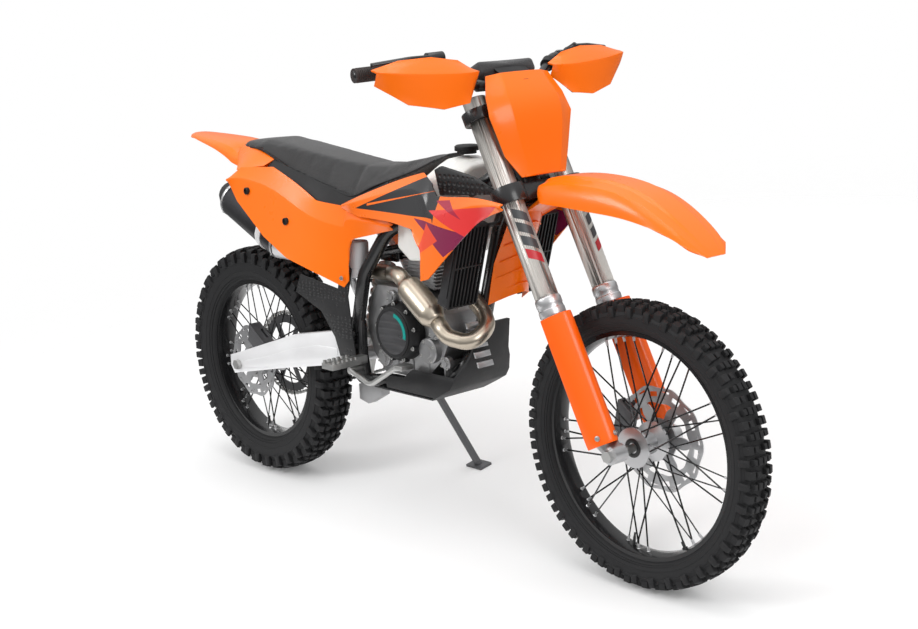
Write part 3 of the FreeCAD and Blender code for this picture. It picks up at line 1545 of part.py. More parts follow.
def rounded(x, half_low, low, half_high, shoulder, top):
    """A closed cross-section with a flat foot and a rounded top, seen along the bike."""
    shares = (
        (half_low, low), (mix(half_low, half_high, 0.4), mix(low, shoulder, 0.5)), (half_high, shoulder),
        (0.84 * half_high, mix(shoulder, top, 0.52)), (0.50 * half_high, mix(shoulder, top, 0.90)),
    )
    right = [V(x, -half, z) for half, z in shares]
    return right + [V(x, 0, top)] + [V(x, -p.y, p.z) for p in reversed(right)]


def seat():
    """The long saddle: thin at the tail, deep between the rider's knees, rising over the tank."""
    rows = (
        (0.000, 0.790, 0.845, 0.880, 0.42, 0.36),
        (0.060, 0.800, 0.920, 0.955, 0.66, 0.62),
        (0.170, 0.800, 0.965, 1.000, 0.80, 0.72),
        (0.345, 0.390, 0.810, 0.855, 0.84, 0.66),
        (0.520, 0.150, 0.665, 0.710, 0.88, 0.58),
        (0.655, 0.000, 0.570, 0.615, 0.98, 0.52),
        (0.760, 0.270, 0.590, 0.640, 0.94, 0.50),
        (0.900, 0.560, 0.730, 0.800, 0.72, 0.50),
        (1.000, 0.860, 0.900, 0.960, 0.44, 0.36),
    )
    sections = [
        rounded(
            S.seat_x + x * S.seat_length, low_half * S.seat_half, S.seat_foot + low * S.seat_height,
            half * S.seat_half, S.seat_foot + shoulder * S.seat_height, S.seat_foot + top * S.seat_height
        )
        for x, low, shoulder, top, low_half, half in rows
    ]
    stops = []
    for side in SIDES:
        x, half, z = rail_point(0.55, 0.935, 0.69)
        stops.append(Part.makeCylinder(0.9 * S.subframe_radius, 0.3 * S.seat_height, V(x, side * half, z)))
    return shape_node("seat", loft(sections).fuse(stops).cut(rails(S.subframe_radius + S.seat_gap)))


def fuel_tank():
    """The tank straddles the spars: a filler neck on top and a lobe down each side."""
    rows = (
        (0.00, 0.10, 0.56, 0.66, 0.86, 0.76),
        (0.28, 0.00, 0.66, 0.76, 1.00, 0.86),
        (0.58, 0.02, 0.84, 0.97, 1.00, 0.70),
        (0.80, 0.18, 0.82, 0.94, 0.94, 0.62),
        (0.92, 0.46, 0.80, 0.90, 0.84, 0.58),
    )
    sections = [
        rounded(
            S.tank_x + x * S.tank_length, low_half * S.tank_half, S.tank_foot + low * S.tank_height,
            half * S.tank_half, S.tank_foot + shoulder * S.tank_height, S.tank_foot + top * S.tank_height
        )
        for x, low, shoulder, top, low_half, half in rows
    ]
    solid = loft(sections)
    tunnel_shares = ((-0.1, -0.2), (1.1, -0.2), (1.1, 0.97), (0.75, 0.78), (-0.1, 0.46))
    outline = [V(x, 0, z) for x, z in spread(tunnel_shares, S.tank_x, S.tank_foot, S.tank_length,
        S.tank_height)]
    tunnel = Part.Face(Part.makePolygon(outline + outline[:1])).extrude(V(0, 2 * S.tank_tunnel_half, 0))
    tunnel.translate(V(0, -S.tank_tunnel_half, 0))
    neck = V(S.tank_x + 0.66 * S.tank_length, 0, S.tank_foot + 0.985 * S.tank_height)
    collar_height = 0.12 * S.tank_height
    collar = Part.makeCylinder(0.75 * S.cap_radius, collar_height, neck - V(0, 0, collar_height + S.seat_gap))
    rests = []
    spar_top = spar_point(0.63, 0.48, 0.25)
    for side in SIDES:
        rests.append(Part.makeCylinder(0.6 * S.spar_radius, 4 * S.spar_radius,
            V(spar_top.x, side * spar_top.y, spar_top.z)))
    tank = solid.cut(tunnel).fuse([collar] + rests).cut(spars(S.spar_radius + S.seat_gap))
    shape_node("fuel_tank", tank)
    profile = [
        (0, 0), (0.8 * S.cap_radius, 0), (0.8 * S.cap_radius, 0.35 * S.cap_height),
        (S.cap_radius, 0.35 * S.cap_height),
        (S.cap_radius, 0.85 * S.cap_height), (0.85 * S.cap_radius, S.cap_height), (0, S.cap_height),
    ]
    body = turned("tank_cap", profile)
    upright = FreeCAD.Placement(neck, FreeCAD.Rotation(V(1, 0, 0), 90))
    return node(body, "tank_cap", upright)


def radiators():
    """A cooler on each side of the downtube, with end tanks and a louvred guard in front."""
    cores = []
    guards = []
    tilt = FreeCAD.Rotation(V(0, 1, 0), S.radiator_tilt_angle)
    for side in SIDES:
        frame = FreeCAD.Placement(V(S.radiator_x, side * S.radiator_half, S.radiator_foot), tilt)
        wide, deep, tall = S.radiator_width, S.radiator_depth, S.radiator_height
        core = Part.makeBox(deep * 0.8, wide, tall * 0.8, V(-deep * 0.9, -wide / 2, tall * 0.1))
        low_tank = Part.makeBox(deep, wide, tall * 0.12, V(-deep, -wide / 2, 0))
        high_tank = Part.makeBox(deep, wide, tall * 0.12, V(-deep, -wide / 2, tall * 0.88))
        solid = core.fuse([low_tank, high_tank])
        solid.Placement = frame
        cores.append(solid)
        rail = S.louvre_width
        grille = []
        count = int(S.louvre_count)
        for index in range(count):
            y = -wide / 2 + (wide - rail) * index / (count - 1)
            grille.append(Part.makeBox(S.louvre_depth, rail, tall, V(S.seat_gap, y, 0)))
        for share in (0.0, 0.5, 1.0):
            grille.append(Part.makeBox(S.louvre_depth, wide, rail,
                V(S.seat_gap, -wide / 2, share * (tall - rail))))
        guard = grille[0].fuse(grille[1:])
        guard.Placement = frame
        guards.append(guard)
    shape_node("radiators", Part.makeCompound(cores))
    return shape_node("radiator_guards", Part.makeCompound(guards))


def side_strips(label, rows, bosses, x, foot, length, height, half, wall):
    """A pair of bent panels; each row is x, low, high, side at the low edge, side at the high edge."""
    stations = []
    for x_share, low, high, out_low, out_high in rows:
        along = x + x_share * length
        stations.append((
            V(along, out_low * half, foot + low * height), V(along, out_high * half, foot + high * height),
        ))
    left = strip(stations, wall).fuse(bosses)
    return shape_node(label, both_sides(left))


def shrouds():
    """The big front side panels, from the seat's foot out round the radiators."""
    rows = (
        (0.000, 0.570, 0.620, 0.75, 0.74),
        (0.110, 0.520, 0.720, 0.79, 0.74),
        (0.330, 0.520, 0.905, 0.86, 0.66),
        (0.470, 0.480, 0.985, 0.95, 0.67),
        (0.530, 0.300, 0.900, 1.00, 0.72),
        (0.545, 0.020, 0.870, 1.04, 0.76),
        (0.590, 0.050, 0.800, 1.05, 0.83),
        (0.670, 0.235, 0.805, 1.03, 0.90),
        (0.780, 0.480, 0.828, 1.00, 0.94),
        (0.865, 0.650, 0.830, 0.98, 0.96),
        (0.985, 0.760, 0.797, 1.00, 1.00),
    )
    start = S.radiator_half + S.radiator_width / 2 + S.seat_gap
    boss = Part.makeCylinder(
        2.4 * S.panel_wall, S.shroud_half - start - 0.5 * S.panel_wall,
        V(S.shroud_x + 0.672 * S.shroud_length, start, S.shroud_foot + 0.37 * S.shroud_height), V(0, 1, 0)
    )
    return side_strips("shrouds", rows, [boss], S.shroud_x, S.shroud_foot, S.shroud_length, S.shroud_height,
                       S.shroud_half, S.panel_wall)


def side_panels():
    """The rear side panels; the muffler runs inside the right one."""
    rows = (
        (0.000, 0.855, 0.880, 0.95, 0.94),
        (0.064, 0.690, 0.985, 0.98, 0.86),
        (0.240, 0.400, 1.000, 1.00, 0.72),
        (0.385, 0.230, 0.865, 0.99, 0.68),
        (0.500, 0.150, 0.730, 0.92, 0.68),
        (0.680, 0.020, 0.715, 0.78, 0.70),
        (0.705, 0.080, 0.700, 0.76, 0.71),
        (0.712, 0.435, 0.695, 0.76, 0.72),
        (0.850, 0.500, 0.655, 0.78, 0.76),
        (1.000, 0.580, 0.615, 0.80, 0.80),
    )
    x, half, z = rail_point(0.47, 0.95, 0.618)
    boss = Part.makeCylinder(2 * S.panel_wall, 0.68 * S.side_panel_half - half, V(x, half, z), V(0, 1, 0))
    boss = boss.cut(rails(S.subframe_radius + S.seat_gap))
    return side_strips("side_panels", rows, [boss], S.side_panel_x, S.side_panel_foot, S.side_panel_length,
                       S.side_panel_height, S.side_panel_half, S.panel_wall)


def rear_fender():
    """The tail: an arched fender that runs under the seat and kicks up to its tip."""
    rows = (
        (0.000, 0.25, 0.86, 0.900, 0.940),
        (0.040, 0.42, 0.84, 0.930, 0.970),
        (0.200, 0.66, 0.72, 0.860, 0.920),
        (0.380, 0.84, 0.56, 0.780, 0.860),
        (0.500, 0.90, 0.32, 0.650, 0.740),
        (0.540, 0.92, 0.20, 0.500, 0.580),
        (0.620, 0.96, 0.08, 0.460, 0.560),
        (0.800, 1.00, -0.05, 0.380, 0.500),
        (1.000, 1.00, -0.20, 0.050, 0.120),
    )
    sections = []
    for x, half, edge, shoulder, crown in rows:
        sections.append(arch(
            half * S.rear_fender_half, edge * S.rear_fender_height, shoulder * S.rear_fender_height,
            crown * S.rear_fender_height, S.fender_wall,
            moved(S.rear_fender_x + x * S.rear_fender_length, 0, S.rear_fender_foot)
        ))
    x, half, z = rail_point(0.98, 0.85, 0.98)
    start = z + 0.9 * S.subframe_radius + S.seat_gap
    bosses = [
        Part.makeCylinder(
            2 * S.fender_wall, S.rear_fender_foot + 0.48 * S.rear_fender_height - start,
            V(x, side * 0.6 * half, start)
        )
        for side in SIDES
    ]
    return shape_node("rear_fender", loft(sections).fuse(bosses))


def swingarm():
    """Two tapered arms, a cross member ahead of the tyre and the barrel on the frame's pivot."""
    leg_shares = (
        (0.00, 0.12), (0.03, 0.00), (0.51, 0.28), (1.00, 0.54), (1.00, 0.80), (0.95, 1.00), (0.60, 0.82),
        (0.06, 0.33),
        (0.00, 0.28),
    )
    outline = spread(leg_shares, S.swingarm_x, S.swingarm_foot, S.swingarm_length, S.swingarm_height)
    middle = S.swingarm_inner + S.swingarm_wall / 2
    parts = [plate("swingarm_leg", [outline], "sizes.swingarm_wall", side * middle) for side in SIDES]
    bridge_x = S.swingarm_x + 0.80 * S.swingarm_length
    parts.append(block(
        "swingarm_bridge",
        V(bridge_x, -S.swingarm_inner - S.swingarm_wall / 2, S.pivot_height - 1.9 * S.barrel_radius),
        V(bridge_x + 3.0 * S.barrel_radius, S.swingarm_inner + S.swingarm_wall / 2,
            S.pivot_height + 0.7 * S.barrel_radius),
    ))
    barrel_half = S.pivot_half - S.pivot_plate_wall / 2 - S.seat_gap
    barrel = doc.addObject("Part::Cylinder", "swingarm_barrel")
    barrel.setExpression("Radius", "sizes.barrel_radius")
    barrel.Height = 2 * barrel_half
    barrel.Placement = FreeCAD.Placement(
        V(S.pivot_x, -barrel_half, S.pivot_height), FreeCAD.Rotation(V(0, 0, 1), V(0, 1, 0))
    )
    parts.append(barrel)
    for side in SIDES:
        near, far = side * 1.3 * S.barrel_radius, side * 2.5 * S.barrel_radius
        parts.append(block(
            "swingarm_ear",
            V(bridge_x + S.barrel_radius, min(near, far), S.pivot_height - 0.7 * S.barrel_radius),
            V(S.pivot_x, max(near, far), S.pivot_height + 0.7 * S.barrel_radius),
        ))
    bore = rod("swingarm_bore", V(S.pivot_x, -S.pivot_half, S.pivot_height),
        V(S.pivot_x, S.pivot_half, S.pivot_height),
               "sizes.pivot_radius + sizes.seat_gap")
    axle_bore = rod("swingarm_axle_bore", V(0, -S.rear_axle_half, S.rear_radius),
        V(0, S.rear_axle_half, S.rear_radius),
                    "sizes.axle_radius + sizes.seat_gap")
    return node(less("swingarm", fused("swingarm_solid", parts),
        fused("swingarm_bores", [bore, axle_bore])), "swingarm")


def linkage():
    """The rocker under the shock, between the frame's cradle and the shock's lower end."""
    shares = ((-0.34, -0.50), (0.20, -0.62), (1.04, -0.16), (1.04, 0.34), (0.30, 0.36), (-0.34, 0.10))
    reach = S.spar_foot_x - S.frame_tube_radius - S.seat_gap - S.shock_foot_x
    outline = [
        (S.shock_foot_x + a * reach, S.shock_foot_height - 2 * S.seat_gap - 0.36 * reach + b * reach) for a,
        b in shares
    ]
    return node(plate("linkage", [outline], "0.9 * sizes.spring_radius"), "linkage")


def frame_guards():
    """Guards over the frame's side plates, each a forked panel with arms up the spar and to the rear."""
    shares = (
        (0.80, 0.00), (1.00, 0.05), (0.96, 0.35), (0.93, 0.66), (1.00, 0.93), (0.87, 1.00), (0.80, 0.72),
        (0.28, 0.80), (0.20, 0.62), (0.55, 0.47), (0.72, 0.24),
    )
    outline = spread(shares, S.frame_guard_x, S.frame_guard_foot, S.frame_guard_length, S.frame_guard_height)
    both = []
    for side in SIDES:
        panel = plate("frame_guard_panel", [outline], "sizes.panel_wall",
            side * (S.frame_guard_half + S.panel_wall / 2))
        x, z = S.pivot_x + 0.3 * S.pivot_plate_reach, S.pivot_height + 0.3 * S.pivot_plate_height
        start = S.pivot_half + S.pivot_plate_wall / 2 + S.seat_gap
        boss = rod("frame_guard_boss", V(x, side * start, z),
                   V(x, side * (S.frame_guard_half + S.panel_wall / 2), z), "2 * sizes.panel_wall")
        both.append(fused("frame_guard", [panel, boss]))
    return node(grouped("frame_guards", both), "frame_guards")


def rear_axle():
    """The axle through both arms with its head, nut and the spacers beside the hub."""
    axle = rod("rear_axle_rod", V(0, -S.rear_axle_half, 0), V(0, S.rear_axle_half, 0), "sizes.axle_radius")
    parts = [axle]
    leg_outer = S.swingarm_inner + S.swingarm_wall
    near = {RIGHT: S.disc_side + S.disc_width / 2, LEFT: S.chain_side + S.sprocket_width / 2}
    for side in SIDES:
        start = near[side] + 2 * S.seat_gap
        spacer = doc.addObject("Part::Cylinder", "rear_spacer")
        spacer.Radius = (S.axle_nut_radius + S.axle_radius) / 2
        spacer.Height = S.swingarm_inner - S.seat_gap - start
        spacer.Placement = FreeCAD.Placement(V(0, side * start, 0),
            FreeCAD.Rotation(V(0, 0, 1), V(0, side, 0)))
        nut = doc.addObject("Part::Prism", "rear_axle_nut")
        nut.Polygon = 6
        nut.setExpression("Circumradius", "sizes.axle_nut_radius")
        nut.Height = S.rear_axle_half - leg_outer - S.seat_gap
        nut.Placement = FreeCAD.Placement(
            V(0, side * (leg_outer + S.seat_gap), 0), FreeCAD.Rotation(V(0, 0, 1), V(0, side, 0))
        )
        parts += [spacer, nut]
    return node(fused("rear_axle", parts), "rear_axle", REAR_AXLE)


def rear_caliper():
    """The rear caliper over its disc, carried on the right arm."""
    ring = S.rear_disc_radius
    start, stop = math.radians(32), math.radians(78)
    points = []
    for radius, angles in ((ring + 0.6 * S.disc_band, (start, stop)),
            (ring - 1.6 * S.disc_band, (stop, start))):
        for angle in angles:
            points.append((radius * math.cos(angle), radius * math.sin(angle)))
        outer = S.swingarm_inner - S.seat_gap
    solid = plate("rear_caliper_block", [points], "sizes.caliper_width", S.caliper_width / 2 - outer)
    gap = doc.addObject("Part::Cylinder", "rear_caliper_slot")
    gap.Radius = ring + 2 * S.disc_width
    gap.Height = 3 * S.disc_width
    gap.Placement = FreeCAD.Placement(
        V(0, -S.disc_side - gap.Height.Value / 2, 0), FreeCAD.Rotation(V(0, 0, 1), V(0, 1, 0))
    )
    return node(less("rear_caliper", solid, gap), "rear_caliper", REAR_AXLE)


def rear_shock():
    """The shock: body, spring as a ribbed sleeve, and the eye at its top."""
    low = V(S.shock_foot_x, 0, S.shock_foot_height)
    high = V(S.shock_top_x, 0, S.shock_top_height)
    way = (high - low).normalize()
    span = (high - low).Length
    profile_shares = ((0.0, 0.40), (0.36, 0.40), (0.36, 0.95), (0.40, 0.95), (0.40, 0.80))
    profile = [(0, 0)] + [(b * S.spring_radius, a * span) for a, b in profile_shares]
    coils = int(S.spring_coils)
    for index in range(coils):
        start = mix(0.40, 0.82, index / coils) * span
        stop = mix(0.40, 0.82, (index + 0.5) / coils) * span
        end = mix(0.40, 0.82, (index + 1) / coils) * span
        profile += [(S.spring_radius, mix(start, stop, 0.3)), (S.spring_radius, mix(start, stop, 0.9)),
                    (0.80 * S.spring_radius, stop), (0.80 * S.spring_radius, end)]
    neck = 0.8 * SHOCK_EYE_SHARE * S.spring_radius
    profile += [(0.95 * S.spring_radius, 0.82 * span), (0.95 * S.spring_radius, 0.86 * span),
                (0.70 * S.spring_radius, 0.86 * span), (0.70 * S.spring_radius, 0.93 * span),
                (neck, 0.93 * span), (neck, span), (0, span)]
    body = turned("shock_body", profile)
    body.Placement = FreeCAD.Placement(low, FreeCAD.Rotation(V(0, 1, 0), way))
    half = SHOCK_EYE_SHARE * S.spring_radius
    eye = rod("shock_eye", high - V(0, half, 0), high + V(0, half, 0), "0.4 * sizes.spring_radius")
    return node(fused("rear_shock", [body, eye]), "rear_shock")


def footpegs():
    """Wide toothed pegs on brackets that stand out from the pivot plates."""
    shells = []
    for side in SIDES:
        inner, outer = S.peg_inner, S.peg_inner + S.peg_length
        teeth = 6
        body = Part.makeBox(S.peg_width, S.peg_length, S.peg_depth * 0.6,
                            V(S.peg_x - S.peg_width / 2, inner, S.peg_height - S.peg_depth * 0.3))
        hole_gap = S.peg_length / 3
        for index in range(2):
            low = V(S.peg_x - S.peg_width * 0.32, inner + S.peg_length * 0.12 + index * hole_gap * 1.25,
                    S.peg_height - S.peg_depth)
            body = body.cut(Part.makeBox(S.peg_width * 0.64, hole_gap, 2 * S.peg_depth, low))
        for index in range(teeth):
            for edge in (-1, 1):
                y = inner + S.peg_length * (index + 0.2) / teeth
                x = S.peg_x + edge * S.peg_width * 0.42 - S.peg_width * 0.07
                body = body.fuse(Part.makeBox(S.peg_width * 0.14, S.peg_length * 0.09, S.peg_depth * 0.3,
                                              V(x, y, S.peg_height + S.peg_depth * 0.25)))
        start = S.pivot_half + S.pivot_plate_wall / 2 + S.seat_gap
        arm = Part.makeBox(S.peg_width * 0.5, inner - start, S.peg_depth * 0.8,
                           V(S.peg_x - S.peg_width * 0.4, start, S.peg_height - S.peg_depth * 0.5))
        made = body.fuse(arm)
        shells.append(made if side == LEFT else mirrored(made))
    return shape_node("footpegs", Part.makeCompound(shells))


def foot_levers():
    """Brake pedal on the right, gear lever on the left, both as parked with no travel modelled."""
    out = S.pivot_half + S.pivot_plate_wall / 2 + S.seat_gap
    pedal_side = -(S.engine_width / 2 + S.clutch_cover_depth + 2.2 * S.lever_width)
    start = V(S.pedal_x, -out, S.peg_height - 1.2 * S.peg_depth)
    route = [
        V(start.x, pedal_side, start.z),
        V(start.x + 0.35 * S.pedal_length, pedal_side, start.z - 0.12 * S.pedal_length),
        V(start.x + 0.8 * S.pedal_length, pedal_side, start.z + 0.14 * S.pedal_length),
        V(start.x + S.pedal_length, pedal_side, start.z + 0.18 * S.pedal_length),
    ]
    arm = tube(route, S.lever_width * 0.7, 4 * S.lever_width)
    shaft = Part.makeCylinder(S.lever_width, abs(pedal_side) - out + S.lever_width * 0.5, start, V(0, -1, 0))
    pad = Part.makeBox(3.4 * S.lever_width, 4.0 * S.lever_width, 1.2 * S.lever_width,
                       route[-1] + V(-1.7 * S.lever_width, -2.8 * S.lever_width, -0.2 * S.lever_width))
    shape_node("brake_pedal", arm.fuse([shaft, pad]))
    gear_side = S.engine_width / 2 + S.ignition_cover_depth + 1.2 * S.lever_width
    start = V(S.gear_x, S.engine_width / 2 + S.seat_gap, S.gear_height)
    route = [
        V(start.x, gear_side, start.z),
        V(start.x + 0.5 * S.gear_length, gear_side, start.z - 0.10 * S.gear_length),
        V(start.x + S.gear_length, gear_side + S.lever_width, start.z),
    ]
    arm = tube(route, S.lever_width * 0.6, 4 * S.lever_width)
    shaft = Part.makeCylinder(S.lever_width * 0.9, gear_side - start.y + S.lever_width * 0.5, start,
        V(0, 1, 0))
    toe = Part.makeCylinder(S.lever_width * 0.9, 3.4 * S.lever_width,
        route[-1] + V(0, -0.4 * S.lever_width, 0), V(0, 1, 0))
    return shape_node("gear_lever", arm.fuse([shaft, toe]))


# Side stand

STAND_PIVOT = V(S.stand_x, S.stand_side, S.stand_height)


def ground_height(side):
    """Height of the floor in the leaned bike's own frame, at that distance to its left."""
    lean = math.radians(S.lean_angle)
    drops = [
        max(
            LUG_EDGE_SHARE * width / 2 * math.sin(lean),
            width / 2 * math.sin(lean) - LUG_FALL_SHARE * lug * math.cos(lean)
        )
        for width, lug in ((S.front_width, S.front_lug_height), (S.rear_width, S.rear_lug_height))
    ]
    return side * math.tan(lean) - sum(drops) / len(drops) / math.cos(lean)


def side_stand():
    """The stand: an eye on its tilted pivot, a leg and a foot that lies flat on the floor."""
    tilt = math.radians(S.stand_axis_angle)
    way = V(0, math.cos(tilt), math.sin(tilt))
    eye = Part.makeCylinder(
        1.3 * S.stand_radius, S.stand_eye_length, STAND_PIVOT - way * S.stand_eye_length / 2, way
    )
    foot_low = V(S.stand_foot_x, S.stand_foot_side, ground_height(S.stand_foot_side))
    lean = FreeCAD.Rotation(V(1, 0, 0), S.lean_angle)
    up = lean.multVec(V(0, 0, 1))
    reach = foot_low + up * 0.6 * S.stand_foot_wall - STAND_PIVOT
    leg = Part.makeCylinder(S.stand_radius, reach.Length, STAND_PIVOT, reach)
    foot = Part.makeBox(S.stand_foot_length, S.stand_foot_width, S.stand_foot_wall,
                        V(-S.stand_foot_length / 2, -S.stand_foot_width / 2, 0))
    foot.Placement = FreeCAD.Placement(foot_low, lean)
    return shape_node("side_stand", eye.fuse([leg, foot]))


frame()
subframe()
engine()
cylinder()
front_sprocket()
exhaust_header()
muffler()
skid_plate()
seat()
fuel_tank()
radiators()
shrouds()
side_panels()
rear_fender()
swingarm()
rear_axle()
linkage()
frame_guards()
rear_caliper()
rear_shock()
footpegs()
foot_levers()
side_stand()


# Writing the pieces

LEAN = FreeCAD.Placement(V(), FreeCAD.Rotation(V(1, 0, 0), -S.lean_angle))
for made in NODES:
    made.Placement = LEAN.multiply(made.Placement)
doc.recompute()
whole = FreeCAD.BoundBox()
for made in NODES:
    whole.add(made.Shape.optimalBoundingBox(False))
SHIFT = V(-whole.Center.x, -whole.Center.y, -whole.ZMin)
print("shift", SHIFT)
for made in NODES:
    made.Placement = moved(SHIFT.x, SHIFT.y, SHIFT.z).multiply(made.Placement)
doc.recompute()
faults = []
for made in doc.Objects:
    if "Invalid" in made.State or "Error" in made.State:
        faults.append(made.Label + " failed")
for made in NODES:
    if made.Shape.isNull() or not made.Shape.isValid():
        faults.append(made.Label + " has no valid shape")
if faults:
    raise RuntimeError("; ".join(faults))
for made in NODES:
    made.Shape.exportStep("parts/" + made.Label + ".step")
    print(made.Label, len(made.Shape.Solids), "solids", round(made.Shape.Volume / 1e3), "cm3")
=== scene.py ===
"""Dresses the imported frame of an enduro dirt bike: smooth panels, knobbly tyres, seat, finishes and studio."""

import json
import math

import bmesh
import bpy
from bpy.props import FloatProperty, FloatVectorProperty, IntProperty, PointerProperty
from mathutils import Euler, Matrix, Vector


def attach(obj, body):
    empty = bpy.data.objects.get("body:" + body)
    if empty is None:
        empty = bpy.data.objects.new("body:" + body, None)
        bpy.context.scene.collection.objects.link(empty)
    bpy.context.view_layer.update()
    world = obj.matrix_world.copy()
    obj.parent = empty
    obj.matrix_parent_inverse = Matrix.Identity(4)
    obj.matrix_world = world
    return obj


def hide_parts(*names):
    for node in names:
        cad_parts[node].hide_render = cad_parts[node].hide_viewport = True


bl_info = {
    "name": "Enduro dirt bike",
    "version": (1, 0, 0),
    "blender": (4, 5, 0),
    "location": "View3D > Sidebar > Dirt bike",
    "description": "Builds the bodywork, wheels, seat and finishes of a dirt bike around its frame",
    "category": "Object",
}

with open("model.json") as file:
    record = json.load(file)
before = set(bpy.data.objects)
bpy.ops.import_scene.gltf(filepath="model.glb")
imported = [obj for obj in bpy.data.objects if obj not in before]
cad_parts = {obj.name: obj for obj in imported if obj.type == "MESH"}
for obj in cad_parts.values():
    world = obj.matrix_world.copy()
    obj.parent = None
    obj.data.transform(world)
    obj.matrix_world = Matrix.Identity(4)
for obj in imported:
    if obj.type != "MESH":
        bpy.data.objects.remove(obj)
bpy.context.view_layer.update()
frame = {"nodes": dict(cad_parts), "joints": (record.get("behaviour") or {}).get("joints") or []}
NODES = frame["nodes"]


# Frames: the bike stands leaned on its side stand, so pieces are drawn upright in millimetres and then placed

def joint_of(name):
    """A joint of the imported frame."""
    return next(joint for joint in frame["joints"] if joint["name"] == name)


MM = Matrix.Scale(0.001, 4)
REAR_AXLE_HEIGHT, FRONT_AXLE_X, FRONT_AXLE_HEIGHT = 342, 1485, 345
REAR_SPOT = Vector(joint_of("rear_wheel_spin")["pos_m"])
AXLE_WAY = Vector(joint_of("rear_wheel_spin")["axis"])
LEAN = math.atan2(-AXLE_WAY.z, AXLE_WAY.y)
UPRIGHT = (
    Matrix.Translation(REAR_SPOT) @ Matrix.Rotation(-LEAN, 4, "X")
    @ Matrix.Translation((0, 0, -REAR_AXLE_HEIGHT / 1000))
)
BIKE = UPRIGHT @ MM
REAR_WHEEL = BIKE @ Matrix.Translation((0, 0, REAR_AXLE_HEIGHT))
FRONT_WHEEL = BIKE @ Matrix.Translation((FRONT_AXLE_X, 0, FRONT_AXLE_HEIGHT))
RAKE = math.radians(26.1)
STEERING_FOOT = (1437.4, 0, 321.7)
STEERING = BIKE @ Matrix.Translation(STEERING_FOOT) @ Matrix.Rotation(-RAKE, 4, "Y")


# Sizes and colours that a user would change

def colour_property(label, text, value):
    """A colour that a user can change."""
    return FloatVectorProperty(
        name=label, description=text, default=value, size=3, min=0, max=1, subtype="COLOR"
    )


class BodyworkLook(bpy.types.PropertyGroup):
    """Colours and wall of the bodywork."""
    orange: colour_property("Bodywork", "Colour of the fenders, shrouds and panels", (1.0, 0.17, 0.0))
    guard_orange: colour_property("Fork guards", "Colour of the fork guards", (0.98, 0.125, 0.002))
    black: colour_property("Black plastic", "Colour of the skid plate and frame guards", (0.010, 0.010, 0.011))
    tank: colour_property("Tank", "Colour of the milky fuel tank", (0.86, 0.86, 0.83))
    wall: FloatProperty(
        name="Panel wall", description="Thickness of moulded panels in millimetres", default=3.2, min=1, max=6
    )


class TyreLook(bpy.types.PropertyGroup):
    """Rows of lugs and colour of the tyres."""

    front_rows: IntProperty(
        name="Front rows", description="Lug rows round the front tyre", default=38, min=20, max=60
    )
    rear_rows: IntProperty(
        name="Rear rows", description="Lug rows round the rear tyre", default=36, min=20, max=60
    )
    rubber: colour_property("Rubber", "Colour of the tyres", (0.016, 0.016, 0.017))


class StudioLook(bpy.types.PropertyGroup):
    """Strength of the studio's lights."""

    key: FloatProperty(
        name="Key light", description="Power of the large key light", default=70, min=0, unit="POWER"
    )
    fill: FloatProperty(
        name="Fill light", description="Power of the fill and top lights", default=48, min=0, unit="POWER"
    )
    sky: FloatProperty(
        name="Ambient", description="Strength of the light from all round", default=0.40, min=0, max=2
    )


# Shader tools

def add(tree, kind, links=None, **settings):
    """A node in a tree; links holds values or sockets for its inputs."""
    made = tree.nodes.new(kind)
    for key, value in settings.items():
        setattr(made, key, value)
    for key, value in (links or {}).items():
        if isinstance(value, bpy.types.NodeSocket):
            tree.links.new(value, made.inputs[key])
        else:
            made.inputs[key].default_value = value
    return made


def effect(name, inputs, outputs):
    """An empty shader node group with named inputs and outputs."""
    tree = bpy.data.node_groups.new(name, "ShaderNodeTree")
    for label, kind, value in inputs:
        socket = tree.interface.new_socket(label, in_out="INPUT", socket_type=kind)
        if value is not None:
            socket.default_value = value
    for label, kind in outputs:
        tree.interface.new_socket(label, in_out="OUTPUT", socket_type=kind)
    return tree, tree.nodes.new("NodeGroupInput"), tree.nodes.new("NodeGroupOutput")


FLOAT, VECTOR, COLOUR = "NodeSocketFloat", "NodeSocketVector", "NodeSocketColor"
RELIEF = [("Normal", VECTOR), ("Mask", FLOAT)]


def math_node(tree, operation, first, second=0.0):
    """The result of a sum in a tree."""
    return add(tree, "ShaderNodeMath", {0: first, 1: second}, operation=operation).outputs[0]


def object_place(tree):
    """Coordinates on a piece, in metres."""
    return add(tree, "ShaderNodeTexCoord").outputs["Object"]


def relief_end(tree, sink, height, strength, distance):
    """Ends an effect with the bump of a height, which is also its mask."""
    bump = add(tree, "ShaderNodeBump", {"Height": height, "Strength": strength, "Distance": distance})
    tree.links.new(bump.outputs[0], sink.inputs["Normal"])
    tree.links.new(height, sink.inputs["Mask"])
    return tree


def blotch_group():
    """A colour that is a little lighter and darker in blotches."""
    tree, source, sink = effect(
        "uneven_tone", [("Scale", FLOAT, 8.0), ("Amount", FLOAT, 0.2), ("Colour", COLOUR, None)],
        [("Colour", COLOUR), ("Mask", FLOAT)],
    )
    noise = add(tree, "ShaderNodeTexNoise", {
        "Vector": object_place(tree), "Scale": source.outputs["Scale"], "Detail": 4.0, "Roughness": 0.6,
    }).outputs["Fac"]
    swing = math_node(tree, "MULTIPLY", math_node(tree, "SUBTRACT", noise, 0.5), source.outputs["Amount"])
    level = math_node(tree, "ADD", swing, 1.0)
    tint = add(tree, "ShaderNodeVectorMath", {0: source.outputs["Colour"], "Scale": level}, operation="SCALE")
    tree.links.new(tint.outputs[0], sink.inputs["Colour"])
    tree.links.new(noise, sink.inputs["Mask"])
    return tree


